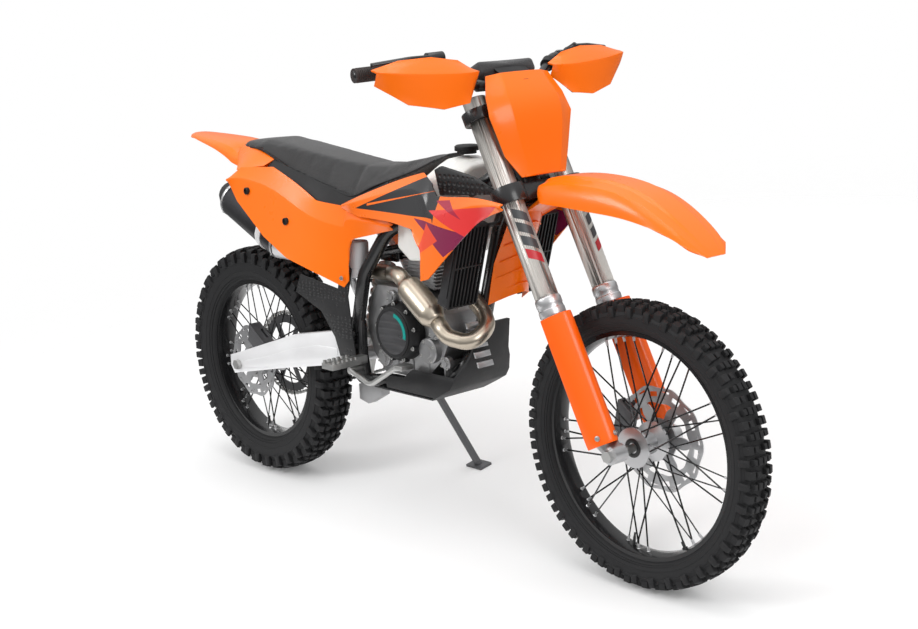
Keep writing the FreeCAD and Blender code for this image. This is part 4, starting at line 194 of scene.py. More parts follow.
def grain_group():
    """The fine grain of mouldings, castings and rubber."""
    tree, source, sink = effect(
        "moulded_grain", [("Scale", FLOAT, 400.0), ("Strength", FLOAT, 0.1), ("Distance", FLOAT, 0.001)], RELIEF
    )
    noise = add(tree, "ShaderNodeTexNoise", {
        "Vector": object_place(tree), "Scale": source.outputs["Scale"], "Detail": 3.0,
    })
    return relief_end(tree, sink, noise.outputs["Fac"], source.outputs["Strength"], source.outputs["Distance"])


def dimple_group():
    """Shallow dimples, for the plastic that a rider's knees and boots hold."""
    tree, source, sink = effect("dimpled_grip", [("Scale", FLOAT, 90.0), ("Depth", FLOAT, 0.5)], RELIEF)
    cells = add(tree, "ShaderNodeTexVoronoi", {
        "Vector": object_place(tree), "Scale": source.outputs["Scale"], "Randomness": 0.15,
    })
    mask = add(tree, "ShaderNodeMapRange", {
        "Value": cells.outputs["Distance"], "From Min": 0.18, "From Max": 0.4,
    })
    return relief_end(tree, sink, mask.outputs[0], source.outputs["Depth"], 0.0015)


def weave_group():
    """Crossed threads, for covers and the patterned clutch plate."""
    tree, source, sink = effect("cross_weave", [("Scale", FLOAT, 700.0), ("Depth", FLOAT, 0.3)], RELIEF)
    links = {"Vector": object_place(tree), "Scale": source.outputs["Scale"]}
    waves = [
        add(tree, "ShaderNodeTexWave", links, bands_direction=way).outputs["Fac"] for way in ("X", "Y")
    ]
    height = math_node(tree, "MULTIPLY", *waves)
    return relief_end(tree, sink, height, source.outputs["Depth"], 0.0008)


def brushed_group():
    """Streaks along an axis, for brushed and drawn metal and for radiator fins."""
    tree, source, sink = effect(
        "brushed_streaks",
        [("Scale", FLOAT, 60.0), ("Stretch", VECTOR, (1.0, 1.0, 12.0)), ("Depth", FLOAT, 0.08)], RELIEF,
    )
    longer = add(tree, "ShaderNodeVectorMath", {0: object_place(tree), 1: source.outputs["Stretch"]},
                 operation="MULTIPLY")
    noise = add(tree, "ShaderNodeTexNoise", {
        "Vector": longer.outputs[0], "Scale": source.outputs["Scale"], "Detail": 5.0,
    })
    return relief_end(tree, sink, noise.outputs["Fac"], source.outputs["Depth"], 0.0006)


def shard_group():
    """A mask that is 1 inside a three-sided flash, from three lines in side view."""
    inputs = [("Place", VECTOR, None)]
    for side in "ABC":
        inputs += [(side + " across", VECTOR, (1, 0, 0)), (side + " reach", FLOAT, 0.0)]
    tree, source, sink = effect("flash_mask", inputs, [("Mask", FLOAT)])
    total = None
    for side in "ABC":
        along = add(tree, "ShaderNodeVectorMath", {
            0: source.outputs["Place"], 1: source.outputs[side + " across"],
        }, operation="DOT_PRODUCT").outputs["Value"]
        inside = math_node(tree, "GREATER_THAN", along, source.outputs[side + " reach"])
        total = inside if total is None else math_node(tree, "MULTIPLY", total, inside)
    tree.links.new(total, sink.inputs["Mask"])
    return tree


EFFECTS = {
    "tone": blotch_group(), "grain": grain_group(), "dimple": dimple_group(), "weave": weave_group(),
    "brushed": brushed_group(), "flash": shard_group(),
}


def use(tree, name, links=None):
    """One of the shared effects in a material's tree, with values of its own."""
    return add(tree, "ShaderNodeGroup", links, node_tree=EFFECTS[name])


def finish(name, colour, roughness, metallic=0.0, coat=0.0, relief="grain", relief_values=None, tone=(9.0, 0.25),
           rough_swing=0.12, sheen=0.0, translucent=0.0, specular=0.5):
    """A material whose tone, gloss and relief change over the surface."""
    made = bpy.data.materials.new(name)
    made.use_nodes = True
    tree = made.node_tree
    shader = tree.nodes["Principled BSDF"]
    shader.inputs["Metallic"].default_value = metallic
    shader.inputs["Specular IOR Level"].default_value = specular
    shader.inputs["Coat Weight"].default_value = coat
    shader.inputs["Coat Roughness"].default_value = 0.12
    shader.inputs["Sheen Weight"].default_value = sheen
    if translucent:
        shader.inputs["Subsurface Weight"].default_value = translucent
        shader.inputs["Subsurface Radius"].default_value = (0.02, 0.02, 0.018)
    shade = use(tree, "tone", {"Scale": tone[0], "Amount": tone[1], "Colour": (*colour, 1.0)})
    tree.links.new(shade.outputs["Colour"], shader.inputs["Base Color"])
    gloss = add(tree, "ShaderNodeMapRange", {
        "Value": shade.outputs["Mask"], "From Min": 0.2, "From Max": 0.8,
        "To Min": max(0.02, roughness - rough_swing), "To Max": min(1.0, roughness + rough_swing),
    })
    tree.links.new(gloss.outputs[0], shader.inputs["Roughness"])
    bumps = use(tree, relief, relief_values)
    tree.links.new(bumps.outputs["Normal"], shader.inputs["Normal"])
    return made


def bike_place(tree):
    """Coordinates of the upright bike in metres, from a piece that stands leaned."""
    return add(tree, "ShaderNodeMapping", {
        "Vector": object_place(tree), "Location": UPRIGHT.inverted().to_translation(),
        "Rotation": Euler((LEAN, 0, 0)),
    }).outputs[0]


def flashes(material, shards):
    """Paints three-sided flashes over a material; each is a colour and three corners in side view, in mm."""
    tree = material.node_tree
    shader = tree.nodes["Principled BSDF"]
    place = bike_place(tree)
    painted = shader.inputs["Base Color"].links[0].from_socket
    for colour, corners in shards:
        points = [Vector((x / 1000, 0, z / 1000)) for x, z in corners]
        middle = sum(points, Vector()) / 3
        links = {"Place": place}
        for label, a, b in zip("ABC", points, points[1:] + points[:1]):
            across = (b - a).cross(Vector((0, 1, 0))).normalized()
            if across.dot(middle - a) < 0:
                across = -across
            links[label + " across"] = across
            links[label + " reach"] = across.dot(a)
        mask = use(tree, "flash", links).outputs["Mask"]
        mixed = add(tree, "ShaderNodeMix", data_type="RGBA")
        tree.links.new(mask, mixed.inputs[0])
        tree.links.new(painted, mixed.inputs[6])
        mixed.inputs[7].default_value = (*colour, 1.0)
        painted = mixed.outputs[2]
    tree.links.new(painted, shader.inputs["Base Color"])


# Mesh tools

def mix(a, b, share):
    """A value between two others."""
    return a + (b - a) * share


def mesh_from(name, points, faces):
    """A mesh from its points and faces."""
    made = bpy.data.meshes.new(name)
    made.from_pydata([tuple(point) for point in points], [], faces)
    made.update()
    return made


def link(name, data):
    """An object in the scene that shows a mesh, a curve, a lamp or a camera."""
    made = bpy.data.objects.new(name, data)
    bpy.context.scene.collection.objects.link(made)
    return made


def evaluated(holder):
    """The mesh that an object's modifiers or curve make; the object itself goes."""
    graph = bpy.context.evaluated_depsgraph_get()
    made = bpy.data.meshes.new_from_object(holder.evaluated_get(graph))
    bpy.data.objects.remove(holder)
    return made


def applied(mesh, *modifiers):
    """The mesh with modifiers worked into it; each is a type and its settings."""
    holder = link("holder", mesh)
    for kind, settings in modifiers:
        modifier = holder.modifiers.new(kind.lower(), kind)
        for key, value in settings.items():
            setattr(modifier, key, value)
    return evaluated(holder)


def eased(width, angle, segments=2):
    """The modifier that eases edges which turn by more than an angle in degrees."""
    return "BEVEL", {
        "width": width, "segments": segments, "limit_method": "ANGLE", "angle_limit": math.radians(angle),
    }


def walled(thickness, offset=0.0):
    """The modifier that gives a sheet its wall, to both sides of it unless offset."""
    return "SOLIDIFY", {"thickness": thickness, "offset": offset}


def smoothed(levels):
    """The modifier that rounds a coarse mesh."""
    return "SUBSURF", {"levels": levels, "render_levels": levels}


def tidy(mesh, merge=0.0):
    """Turns a mesh's faces outward, after points closer than a distance are merged."""
    work = bmesh.new()
    work.from_mesh(mesh)
    if merge:
        bmesh.ops.remove_doubles(work, verts=work.verts, dist=merge)
    bmesh.ops.recalc_face_normals(work, faces=work.faces)
    work.to_mesh(mesh)
    work.free()
    return mesh


def present(name, mesh, body, material, place=None, replaced=(), sharp=32):
    """Links a finished mesh as a piece that rides on a body."""
    if place is not None:
        mesh.transform(place)
    for face in mesh.polygons:
        face.use_smooth = True
    mesh.set_sharp_from_angle(angle=math.radians(sharp))
    mesh.materials.clear()
    mesh.materials.append(material)
    made = link(name, mesh)
    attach(made, body)
    if replaced:
        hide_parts(*replaced)
    return made


def united(meshes):
    """Several meshes as one."""
    work = bmesh.new()
    for mesh in meshes:
        work.from_mesh(mesh)
    made = bpy.data.meshes.new("united")
    work.to_mesh(made)
    work.free()
    return made


def mirrored(mesh):
    """A copy of a mesh on the other side of the bike, with its faces still outward."""
    made = mesh.copy()
    made.transform(Matrix.Scale(-1, 4, (0, 1, 0)))
    made.flip_normals()
    return made


def grid_mesh(name, rows, corner=28.0, folds=()):
    """A sheet of quads through rows of points; sharp turns of its rim, and its folds, stay sharp when smoothed."""
    width, last = len(rows[0]), len(rows) - 1
    points = [Vector(point) for row in rows for point in row]
    faces = []
    for row in range(last):
        for here in range(row * width, row * width + width - 1):
            faces.append((here, here + 1, here + width + 1, here + width))
    mesh = mesh_from(name, points, faces)
    rim = list(range(width)) + [row * width + width - 1 for row in range(1, last + 1)]
    rim += [last * width + column for column in range(width - 2, -1, -1)]
    rim += [row * width for row in range(last - 1, 0, -1)]
    creases = mesh.attributes.new("crease_vert", "FLOAT", "POINT")
    for before, here, after in zip(rim[-1:] + rim[:-1], rim, rim[1:] + rim[:1]):
        come, go = points[here] - points[before], points[after] - points[here]
        if come.length < 1e-6 or go.length < 1e-6 or come.angle(go) > math.radians(corner):
            creases.data[here].value = 1.0
    creases = mesh.attributes.new("crease_edge", "FLOAT", "EDGE")
    for edge in mesh.edges:
        a, b = edge.vertices
        if abs(a - b) == width and a % width in folds:
            creases.data[edge.index].value = 0.85
    return mesh


def panel_mesh(rows, wall, corner=12.0, edge=0.8, folds=()):
    """A moulded panel: a smoothed sheet with a wall and eased edges."""
    sheet = applied(grid_mesh("sheet", rows, corner, folds), smoothed(3))
    return tidy(applied(sheet, walled(wall, -1.0), eased(edge, 50)))


def turned_mesh(profile, steps, closed=False):
    """A shape turned round the Y axis from points of radius and side."""
    points, faces = [], []
    count = len(profile)
    for step in range(steps):
        angle = 2 * math.pi * step / steps
        points += [(radius * math.cos(angle), side, -radius * math.sin(angle)) for radius, side in profile]
        after = (step + 1) % steps
        for index in range(count if closed else count - 1):
            nxt = (index + 1) % count
            faces.append((step * count + index, step * count + nxt, after * count + nxt, after * count + index))
    return tidy(mesh_from("turned", points, faces), merge=0.001)


def between(start, end):
    """A placement whose Y axis runs from one point to another, for turned shapes."""
    start, end = Vector(start), Vector(end)
    turn = (end - start).to_track_quat("Y", "Z").to_matrix().to_4x4()
    return Matrix.Translation(start) @ turn


def turned_between(profile, steps, start, end, closed=False):
    """A turned shape whose axis runs from one point to another."""
    mesh = turned_mesh(profile, steps, closed)
    mesh.transform(between(start, end))
    return mesh


def tube_mesh(points, radius, resolution, sides):
    """A round tube along a smooth line."""
    curve = bpy.data.curves.new("tube", "CURVE")
    curve.dimensions = "3D"
    curve.bevel_depth = radius
    curve.bevel_resolution = sides // 2
    curve.resolution_u = resolution
    curve.use_fill_caps = True
    spline = curve.splines.new("NURBS")
    spline.points.add(len(points) - 1)
    for slot, point in zip(spline.points, points):
        slot.co = (*point, 1.0)
    spline.order_u = 3
    spline.use_endpoint_u = True
    return evaluated(link("holder", curve))


def block_mesh(low, high, ease):
    """A box between two corners, with eased edges."""
    low, high = Vector(low), Vector(high)
    points = [Vector((x, y, z)) for x in (low.x, high.x) for y in (low.y, high.y) for z in (low.z, high.z)]
    faces = [(0, 1, 3, 2), (4, 6, 7, 5), (0, 4, 5, 1), (2, 3, 7, 6), (0, 2, 6, 4), (1, 5, 7, 3)]
    return tidy(applied(mesh_from("block", points, faces), ("BEVEL", {"width": ease, "segments": 2})))


def prism_faces(count):
    """The faces of a solid between two like loops of points, its two ends first."""
    faces = [tuple(range(count)), tuple(range(2 * count - 1, count - 1, -1))]
    for index in range(count):
        nxt = (index + 1) % count
        faces.append((index, index + count, nxt + count, nxt))
    return faces


def prism_mesh(outline, low, high, ease):
    """A flat piece in side view, from points of x and z, between two sides."""
    points = [(x, side, z) for side in (low, high) for x, z in outline]
    return tidy(applied(tidy(mesh_from("prism", points, prism_faces(len(outline)))), eased(ease, 30)))


def both_sides(outline, inner, outer, ease):
    """A flat piece on each side of the bike, between two distances from its middle."""
    return united([prism_mesh(outline, *sorted((side * inner, side * outer)), ease) for side in (-1, 1)])


def round_spots(x, z, radius, count, start):
    """Points of x and z, evenly spaced on a circle in side view, from a start in degrees."""
    angles = [math.radians(360 / count * index + start) for index in range(count)]
    return [(x + radius * math.cos(angle), z + radius * math.sin(angle)) for angle in angles]


def refined(node, body, material, ease=0.0, sharp=30):
    """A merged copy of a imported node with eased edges, which stands for it."""
    mesh = NODES[node].data.copy()
    work = bmesh.new()
    work.from_mesh(mesh)
    bmesh.ops.remove_doubles(work, verts=work.verts, dist=0.00002)
    if ease:
        bmesh.ops.dissolve_limit(
            work, angle_limit=math.radians(0.6), verts=work.verts, edges=work.edges, use_dissolve_boundaries=False
        )
    work.to_mesh(mesh)
    work.free()
    if ease:
        mesh = applied(mesh, eased(ease / 1000, 40))
    return present(node + "_finished", mesh, body, material, replaced=(node,), sharp=sharp)


def refined_all(look_of, body, rows, sharp=30):
    """Refines nodes of a body; each row is a node, its finish, its slot and the ease of its edges."""
    for node, look_name, slot, ease in rows:
        refined(node, body, look_of[look_name], ease, sharp)


# Geometry Nodes for what repeats

def repeat_tree(name, inputs):
    """A tree that repeats an item, with named inputs."""
    tree = bpy.data.node_groups.new(name, "GeometryNodeTree")
    tree.is_modifier = True
    tree.interface.new_socket("Geometry", in_out="INPUT", socket_type="NodeSocketGeometry")
    for label, kind in [("Item", "NodeSocketObject"), ("Material", "NodeSocketMaterial")] + inputs:
        tree.interface.new_socket(label, in_out="INPUT", socket_type=kind)
    tree.interface.new_socket("Geometry", in_out="OUTPUT", socket_type="NodeSocketGeometry")
    return tree, tree.nodes.new("NodeGroupInput"), tree.nodes.new("NodeGroupOutput")


def repeat_end(tree, source, sink, placed):
    """Ends a repeat tree with real geometry and its material."""
    real = add(tree, "GeometryNodeRealizeInstances", {"Geometry": placed.outputs["Instances"]})
    coat = add(tree, "GeometryNodeSetMaterial", {
        "Geometry": real.outputs[0], "Material": source.outputs["Material"],
    })
    tree.links.new(coat.outputs[0], sink.inputs["Geometry"])
    return tree


def item_of(tree, source):
    """The item that a repeat tree repeats, as one instance."""
    found = add(tree, "GeometryNodeObjectInfo", {"Object": source.outputs["Item"], "As Instance": True})
    return found.outputs["Geometry"]


def ring_tree():
    """Turns copies of an item round the Y axis."""
    tree, source, sink = repeat_tree("ring_of_items", [("Count", "NodeSocketInt"), ("Start", FLOAT)])
    line = add(tree, "GeometryNodeMeshLine", {"Count": source.outputs["Count"], "Offset": (0, 0, 0)})
    index = add(tree, "GeometryNodeInputIndex")
    step = math_node(tree, "DIVIDE", 2 * math.pi, source.outputs["Count"])
    angle = math_node(tree, "ADD", math_node(tree, "MULTIPLY", index.outputs[0], step), source.outputs["Start"])
    turn = add(tree, "ShaderNodeCombineXYZ", {"Y": angle})
    spin = add(tree, "FunctionNodeEulerToRotation", {0: turn.outputs[0]})
    placed = add(tree, "GeometryNodeInstanceOnPoints", {
        "Points": line.outputs[0], "Instance": item_of(tree, source), "Rotation": spin.outputs[0],
    })
    return repeat_end(tree, source, sink, placed)


def spot_tree():
    """Sets an item on each point, its Z axis along the point's own direction."""
    tree, source, sink = repeat_tree("items_on_spots", [])
    aim = add(tree, "GeometryNodeInputNamedAttribute", {"Name": "aim"}, data_type="FLOAT_VECTOR")
    size = add(tree, "GeometryNodeInputNamedAttribute", {"Name": "size"}, data_type="FLOAT")
    spin = add(tree, "FunctionNodeAlignRotationToVector", {"Vector": aim.outputs["Attribute"]}, axis="Z")
    placed = add(tree, "GeometryNodeInstanceOnPoints", {
        "Points": source.outputs["Geometry"], "Instance": item_of(tree, source), "Rotation": spin.outputs[0],
        "Scale": size.outputs["Attribute"],
    })
    return repeat_end(tree, source, sink, placed)


TREES = {"ring": ring_tree(), "spots": spot_tree()}


def repeated(tree_name, item, material, base=None, **values):
    """The mesh that a repeat tree makes of an item."""
    holder = link("holder", base or bpy.data.meshes.new("empty"))
    master = link("master", item)
    modifier = holder.modifiers.new("repeat", "NODES")
    modifier.node_group = TREES[tree_name]
    values.update(Item=master, Material=material)
    for socket in modifier.node_group.interface.items_tree:
        if socket.in_out == "INPUT" and socket.name in values:
            modifier[socket.identifier] = values[socket.name]
    made = evaluated(holder)
    bpy.data.objects.remove(master)
    return made


def spots_mesh(spots):
    """Points with a direction and a size, for the items set on them."""
    mesh = mesh_from("spots", [spot for spot, aim, size in spots], [])
    mesh.attributes.new("aim", "FLOAT_VECTOR", "POINT")
    mesh.attributes.new("size", "FLOAT", "POINT")
    aims, sizes = mesh.attributes["aim"], mesh.attributes["size"]
    for index, (spot, aim, size) in enumerate(spots):
        aims.data[index].vector = aim
        sizes.data[index].value = size
    return mesh


def bolt_mesh():
    """A flanged hexagon bolt head of unit radius, its flange on the XY plane."""
    flange, head = 12, 6
    points, faces = [], []
    for sides, rings in ((flange, ((1.0, 0.0), (1.0, 0.18), (0.72, 0.28))), (head, ((0.62, 0.28), (0.62, 0.85)))):
        for ring, (radius, height) in enumerate(rings):
            if ring:
                foot = len(points) - sides
                for k in range(sides):
                    n = (k + 1) % sides
                    faces.append((foot + k, foot + n, foot + sides + n, foot + sides + k))
            angles = [2 * math.pi * k / sides for k in range(sides)]
            points += [(radius * math.cos(angle), radius * math.sin(angle), height) for angle in angles]
        faces.append(tuple(range(len(points) - sides, len(points))))
    faces.append(tuple(range(flange - 1, -1, -1)))
    return mesh_from("bolt", points, faces)


def bolts(name, body, material, spots, place=BIKE):
    """A piece of bolt heads; each spot is a point, a direction and a size."""
    mesh = repeated("spots", bolt_mesh(), material, spots_mesh(spots))
    return present(name, mesh, body, material, place)


# Finishes

def look():
    """The bodywork's values."""
    return bpy.context.scene.dirtbike_bodywork


FINISHES = {}


def shared_finishes():
    """The finishes that several pieces share, made once."""
    if FINISHES:
        return FINISHES
    shell = {
        "coat": 0.25, "relief_values": {"Scale": 900.0, "Strength": 0.03, "Distance": 0.0005}, "rough_swing": 0.05,
        "specular": 0.3,
    }
    rough_case = {"relief_values": {"Scale": 650.0, "Strength": 0.35, "Distance": 0.0008}, "specular": 0.35}
    smooth_metal = {"relief_values": {"Scale": 500.0, "Strength": 0.008, "Distance": 0.0002}, "rough_swing": 0.04}
    FINISHES.update({
        "orange": finish("orange_shell", look().orange, 0.30, tone=(5.0, 0.06), **shell),
        "guard": finish("fork_guard_shell", look().guard_orange, 0.30, tone=(5.0, 0.06), **shell),
        "black": finish("black_moulding", look().black, 0.52, tone=(14.0, 0.3), **rough_case),
        "dimpled": finish("dimpled_grip_moulding", look().black, 0.45, relief="dimple",
                          relief_values={"Scale": 60.0, "Depth": 2.2}, tone=(12.0, 0.3)),
        "frame": finish("frame_enamel", (0.010, 0.010, 0.011), 0.28, coat=0.2, tone=(20.0, 0.3), **smooth_metal),
        "rim": finish("rim_anodised", (0.010, 0.010, 0.011), 0.24, metallic=0.4, coat=0.2, tone=(20.0, 0.3),
                      **smooth_metal),
        "cast": finish("cast_alloy", (0.36, 0.36, 0.365), 0.42, metallic=0.85, tone=(30.0, 0.35), **rough_case),
        "dark_cast": finish("dark_cast_alloy", (0.13, 0.13, 0.135), 0.45, metallic=0.7, tone=(30.0, 0.35),
                            **rough_case),
        "machined": finish("machined_alloy", (0.60, 0.60, 0.61), 0.38, metallic=1.0, tone=(24.0, 0.10),
                           **smooth_metal),
        "arm": finish("swingarm_alloy", (0.88, 0.88, 0.89), 0.36, metallic=0.35, relief="brushed",
                      relief_values={"Scale": 40.0, "Stretch": (0.3, 3.0, 3.0), "Depth": 0.03}, tone=(10.0, 0.10)),
        "nickel": finish("fork_nickel", (0.60, 0.575, 0.54), 0.36, metallic=1.0, relief="brushed",
                         relief_values={"Scale": 60.0, "Stretch": (3.0, 3.0, 0.3), "Depth": 0.02},
                         tone=(12.0, 0.10)),
        "header": finish("header_steel", (0.50, 0.44, 0.36), 0.32, metallic=1.0, relief="brushed",
                         relief_values={"Scale": 50.0, "Depth": 0.015}, tone=(7.0, 0.30)),
        "steel": finish("zinc_steel", (0.50, 0.50, 0.49), 0.38, metallic=1.0, tone=(60.0, 0.3), **smooth_metal),
        "disc": finish("disc_steel", (0.48, 0.48, 0.49), 0.33, metallic=0.9, relief="brushed",
                       relief_values={"Scale": 120.0, "Depth": 0.12}, tone=(30.0, 0.2)),
        "muffler": finish("muffler_sleeve", (0.055, 0.055, 0.06), 0.36, metallic=0.8, relief="brushed",
                          relief_values={"Scale": 60.0, "Stretch": (0.3, 3.0, 3.0)}, tone=(9.0, 0.25)),
        "soot": finish("muffler_cap_coating", (0.02, 0.02, 0.022), 0.5, metallic=0.3, tone=(30.0, 0.3),
                       **rough_case),
        "rubber": finish("tyre_rubber", bpy.context.scene.dirtbike_tyres.rubber, 0.62, tone=(26.0, 0.5),
                         relief_values={"Scale": 380.0, "Strength": 0.4, "Distance": 0.001}, rough_swing=0.1,
                         specular=0.25),
        "grip": finish("grip_rubber", (0.03, 0.022, 0.02), 0.7, tone=(60.0, 0.4)),
        "cover": finish("seat_cover", (0.018, 0.018, 0.019), 0.62, relief="weave", specular=0.3,
                        relief_values={"Scale": 160.0, "Depth": 0.5}, tone=(10.0, 0.3), sheen=0.25),
        "plate": finish("clutch_plate", (0.11, 0.11, 0.115), 0.34, metallic=0.7, relief="weave",
                        relief_values={"Scale": 90.0, "Depth": 1.2}, tone=(16.0, 0.25)),
        "foam": finish("bar_pad_cover", (0.02, 0.02, 0.022), 0.6, relief="weave",
                       relief_values={"Scale": 220.0, "Depth": 0.4}, tone=(12.0, 0.3), sheen=0.2),
        "tank": finish("milky_tank", look().tank, 0.30, tone=(9.0, 0.05), translucent=0.35,
                       relief_values={"Scale": 300.0, "Strength": 0.05, "Distance": 0.0008}),
        "fin": finish("radiator_fins", (0.05, 0.05, 0.052), 0.45, metallic=0.6, relief="brushed",
                      relief_values={"Scale": 260.0, "Stretch": (1.0, 1.0, 0.1), "Depth": 0.8}, tone=(60.0, 0.5)),
        "spring": finish("spring_powder_coat", (0.62, 0.62, 0.60), 0.35, tone=(12.0, 0.1)),
        "reservoir": finish("reservoir_alloy", (0.62, 0.62, 0.63), 0.48, metallic=0.3, tone=(20.0, 0.15)),
        "teal": finish("teal_band", (0.0, 0.30, 0.26), 0.35, tone=(20.0, 0.12)),
        "grey_print": finish("grey_print", (0.05, 0.055, 0.06), 0.4, tone=(20.0, 0.12)),
        "red_print": finish("red_print", (0.50, 0.02, 0.03), 0.4, tone=(20.0, 0.12)),
        "hose": finish("black_hose", (0.014, 0.014, 0.015), 0.45, tone=(40.0, 0.3)),
    })
    return FINISHES


# Pieces

class PieceOperator(bpy.types.Operator):
    """Builds one group of pieces."""

    bl_options = {"REGISTER", "UNDO"}

    def execute(self, context):
        self.build(shared_finishes())
        return {"FINISHED"}


# Both tyres: radius over the lugs, half width, rim seat, height and length of a lug, in millimetres
TYRES = (("front", FRONT_WHEEL, 345, 44.5, 274, 12, 21), ("rear", REAR_WHEEL, 342, 57, 240, 15, 24))
# Half a casing's section: shares of its height from the rim, and of its half width
CASING = (
    (-0.10, 0.52), (0.02, 0.58), (0.05, 0.68), (0.09, 0.73), (0.12, 0.74), (0.13, 0.79), (0.20, 0.81),
    (0.21, 0.85), (0.34, 0.91), (0.35, 0.935), (0.37, 0.935), (0.38, 0.92), (0.50, 0.94), (0.62, 0.93),
    (0.63, 0.95), (0.66, 0.945), (0.67, 0.91), (0.78, 0.86), (0.89, 0.74), (0.96, 0.55), (1.0, 0.30),
    (1.005, 0.0),
)
# Rows of lugs on one side: start in steps, share of a lug's length, and its corners as lug heights below the tread
# and shares of the half width
LUG_ROWS = (
    (0.0, 1.0, ((1.6, 0.58), (0.20, 0.58), (0.62, 0.90), (2.1, 0.86))),
    (0.5, 0.85, ((2.2, 0.80), (0.85, 0.84), (1.10, 1.02), (2.9, 1.04), (3.3, 0.84))),
    (0.5, 0.9, ((1.5, 0.05), (0.0, 0.05), (0.10, 0.32), (1.5, 0.34))),
    (0.5, 0.7, ((1.5, 0.42), (0.12, 0.42), (0.24, 0.62), (1.7, 0.64))),
    (0.0, 0.75, ((1.5, 0.22), (0.05, 0.22), (0.16, 0.46), (1.65, 0.48))),
)


def lug_mesh(outline, long):
    """A tyre lug from its outline of radius and side, a little shorter at its top than at its foot."""
    top = max(radius for radius, side in outline)
    foot = min(radius for radius, side in outline)
    points = [
        (radius, side, sign * long / 2 * mix(1.0, 0.86, (radius - foot) / (top - foot)))
        for sign in (-1, 1) for radius, side in outline
    ]
    solid = tidy(mesh_from("lug", points, prism_faces(len(outline))))
    return tidy(applied(solid, eased(1.2, 35, segments=1)))


class TyresOperator(PieceOperator):
    """Builds both tyres with their rows of lugs."""

    bl_idname = "dirtbike.tyres"
    bl_label = "Tyres"

    def build(self, look_of):
        sizes = bpy.context.scene.dirtbike_tyres
        for end, place, radius, half, rim, lug, long in TYRES:
            count = sizes.front_rows if end == "front" else sizes.rear_rows
            right = [(rim + a * (radius - lug - rim), b * half) for a, b in CASING]
            parts = [turned_mesh(right + [(r, -y) for r, y in reversed(right[:-1])], 132, closed=True)]
            for sign in (-1, 1):
                for start, length, corners in LUG_ROWS:
                    outline = [(radius - deep * lug, sign * side * half) for deep, side in corners]
                    parts.append(repeated("ring", lug_mesh(outline, length * long), look_of["rubber"],
                                          Count=count, Start=start * 2 * math.pi / count))
            present(end + "_tyre_lugged", united(parts), end + "_wheel", look_of["rubber"], place,
                    (end + "_tyre",), sharp=38)


# Both wheels: rim seat, rim width, and the brake disc's side and radius, in millimetres
WHEELS = (("front", FRONT_WHEEL, 258, 52, 60, 130), ("rear", REAR_WHEEL, 224, 66, -60, 110))
# The spokes of a ninth of a wheel: angle in degrees and side
SPOKES = ((6.6, -1), (13.4, -1), (16.5, 1), (23.4, 1))
SEAL_PROFILE = ((13, 36), (23, 36), (23, 38.6), (20, 39.6), (15, 39.6), (13, 38.6))
NIPPLE_PROFILE = ((0.0, -2.0), (4.6, -2.0), (4.6, 1.5), (3.3, 3.0), (3.1, 14), (0.0, 14))
VALVE_PROFILE = ((0, 0), (3.6, 0), (3.6, 22), (2.6, 26), (2.6, 34), (0, 34))
RIM_LOCK_PROFILE = ((0, 0), (7, 0), (7, 6), (4, 7), (4, 20), (0, 20))
DISC_SHARES = (0.70, 0.745, 0.79, 0.885, 0.94, 1.0)


def flat_ring(rows, wall, is_open=lambda ring, step: False):
    """A flat ring with a wall, from a row of radii at each step round the Y axis; some quads may stay open."""
    points, faces = [], []
    count = len(rows[0])
    for step, row in enumerate(rows):
        angle = 2 * math.pi * step / len(rows)
        points += [(radius * math.cos(angle), 0, -radius * math.sin(angle)) for radius in row]
        after = (step + 1) % len(rows)
        for ring in range(count - 1):
            if not is_open(ring, step):
                here, there = step * count + ring, after * count + ring
                faces.append((here, here + 1, there + 1, there))
    return tidy(applied(mesh_from("ring", points, faces), walled(wall)))


def brake_disc_mesh(outer, waves=10, depth=6.0):
    """A wavy brake disc with slots in its band, on a spider with arms."""
    steps = 12 * waves
    band, spider = [], []
    for step in range(steps):
        angle = 2 * math.pi * step / steps
        swing = 0.5 * depth * (math.cos(waves * angle) - 1)
        band.append([
            share * outer + swing * (1.0 if share > 0.9 else (0.8 if share < 0.72 else 0.0)) for share in DISC_SHARES
        ])
        arm = max(0.0, math.cos(6 * angle)) ** 0.6
        spider.append([30, 40, 50, mix(51, 0.715 * outer, arm)])
    slots = {2: (1, 2, 3, 4), 3: (7, 8, 9, 10)}
    return united([
        flat_ring(band, 3.0, lambda ring, step: step % 12 in slots.get(ring, ())), flat_ring(spider, 4.0),
    ])


def outward(degrees):
    """The direction away from an axle at an angle."""
    angle = math.radians(degrees)
    return Vector((math.cos(angle), 0, -math.sin(angle)))


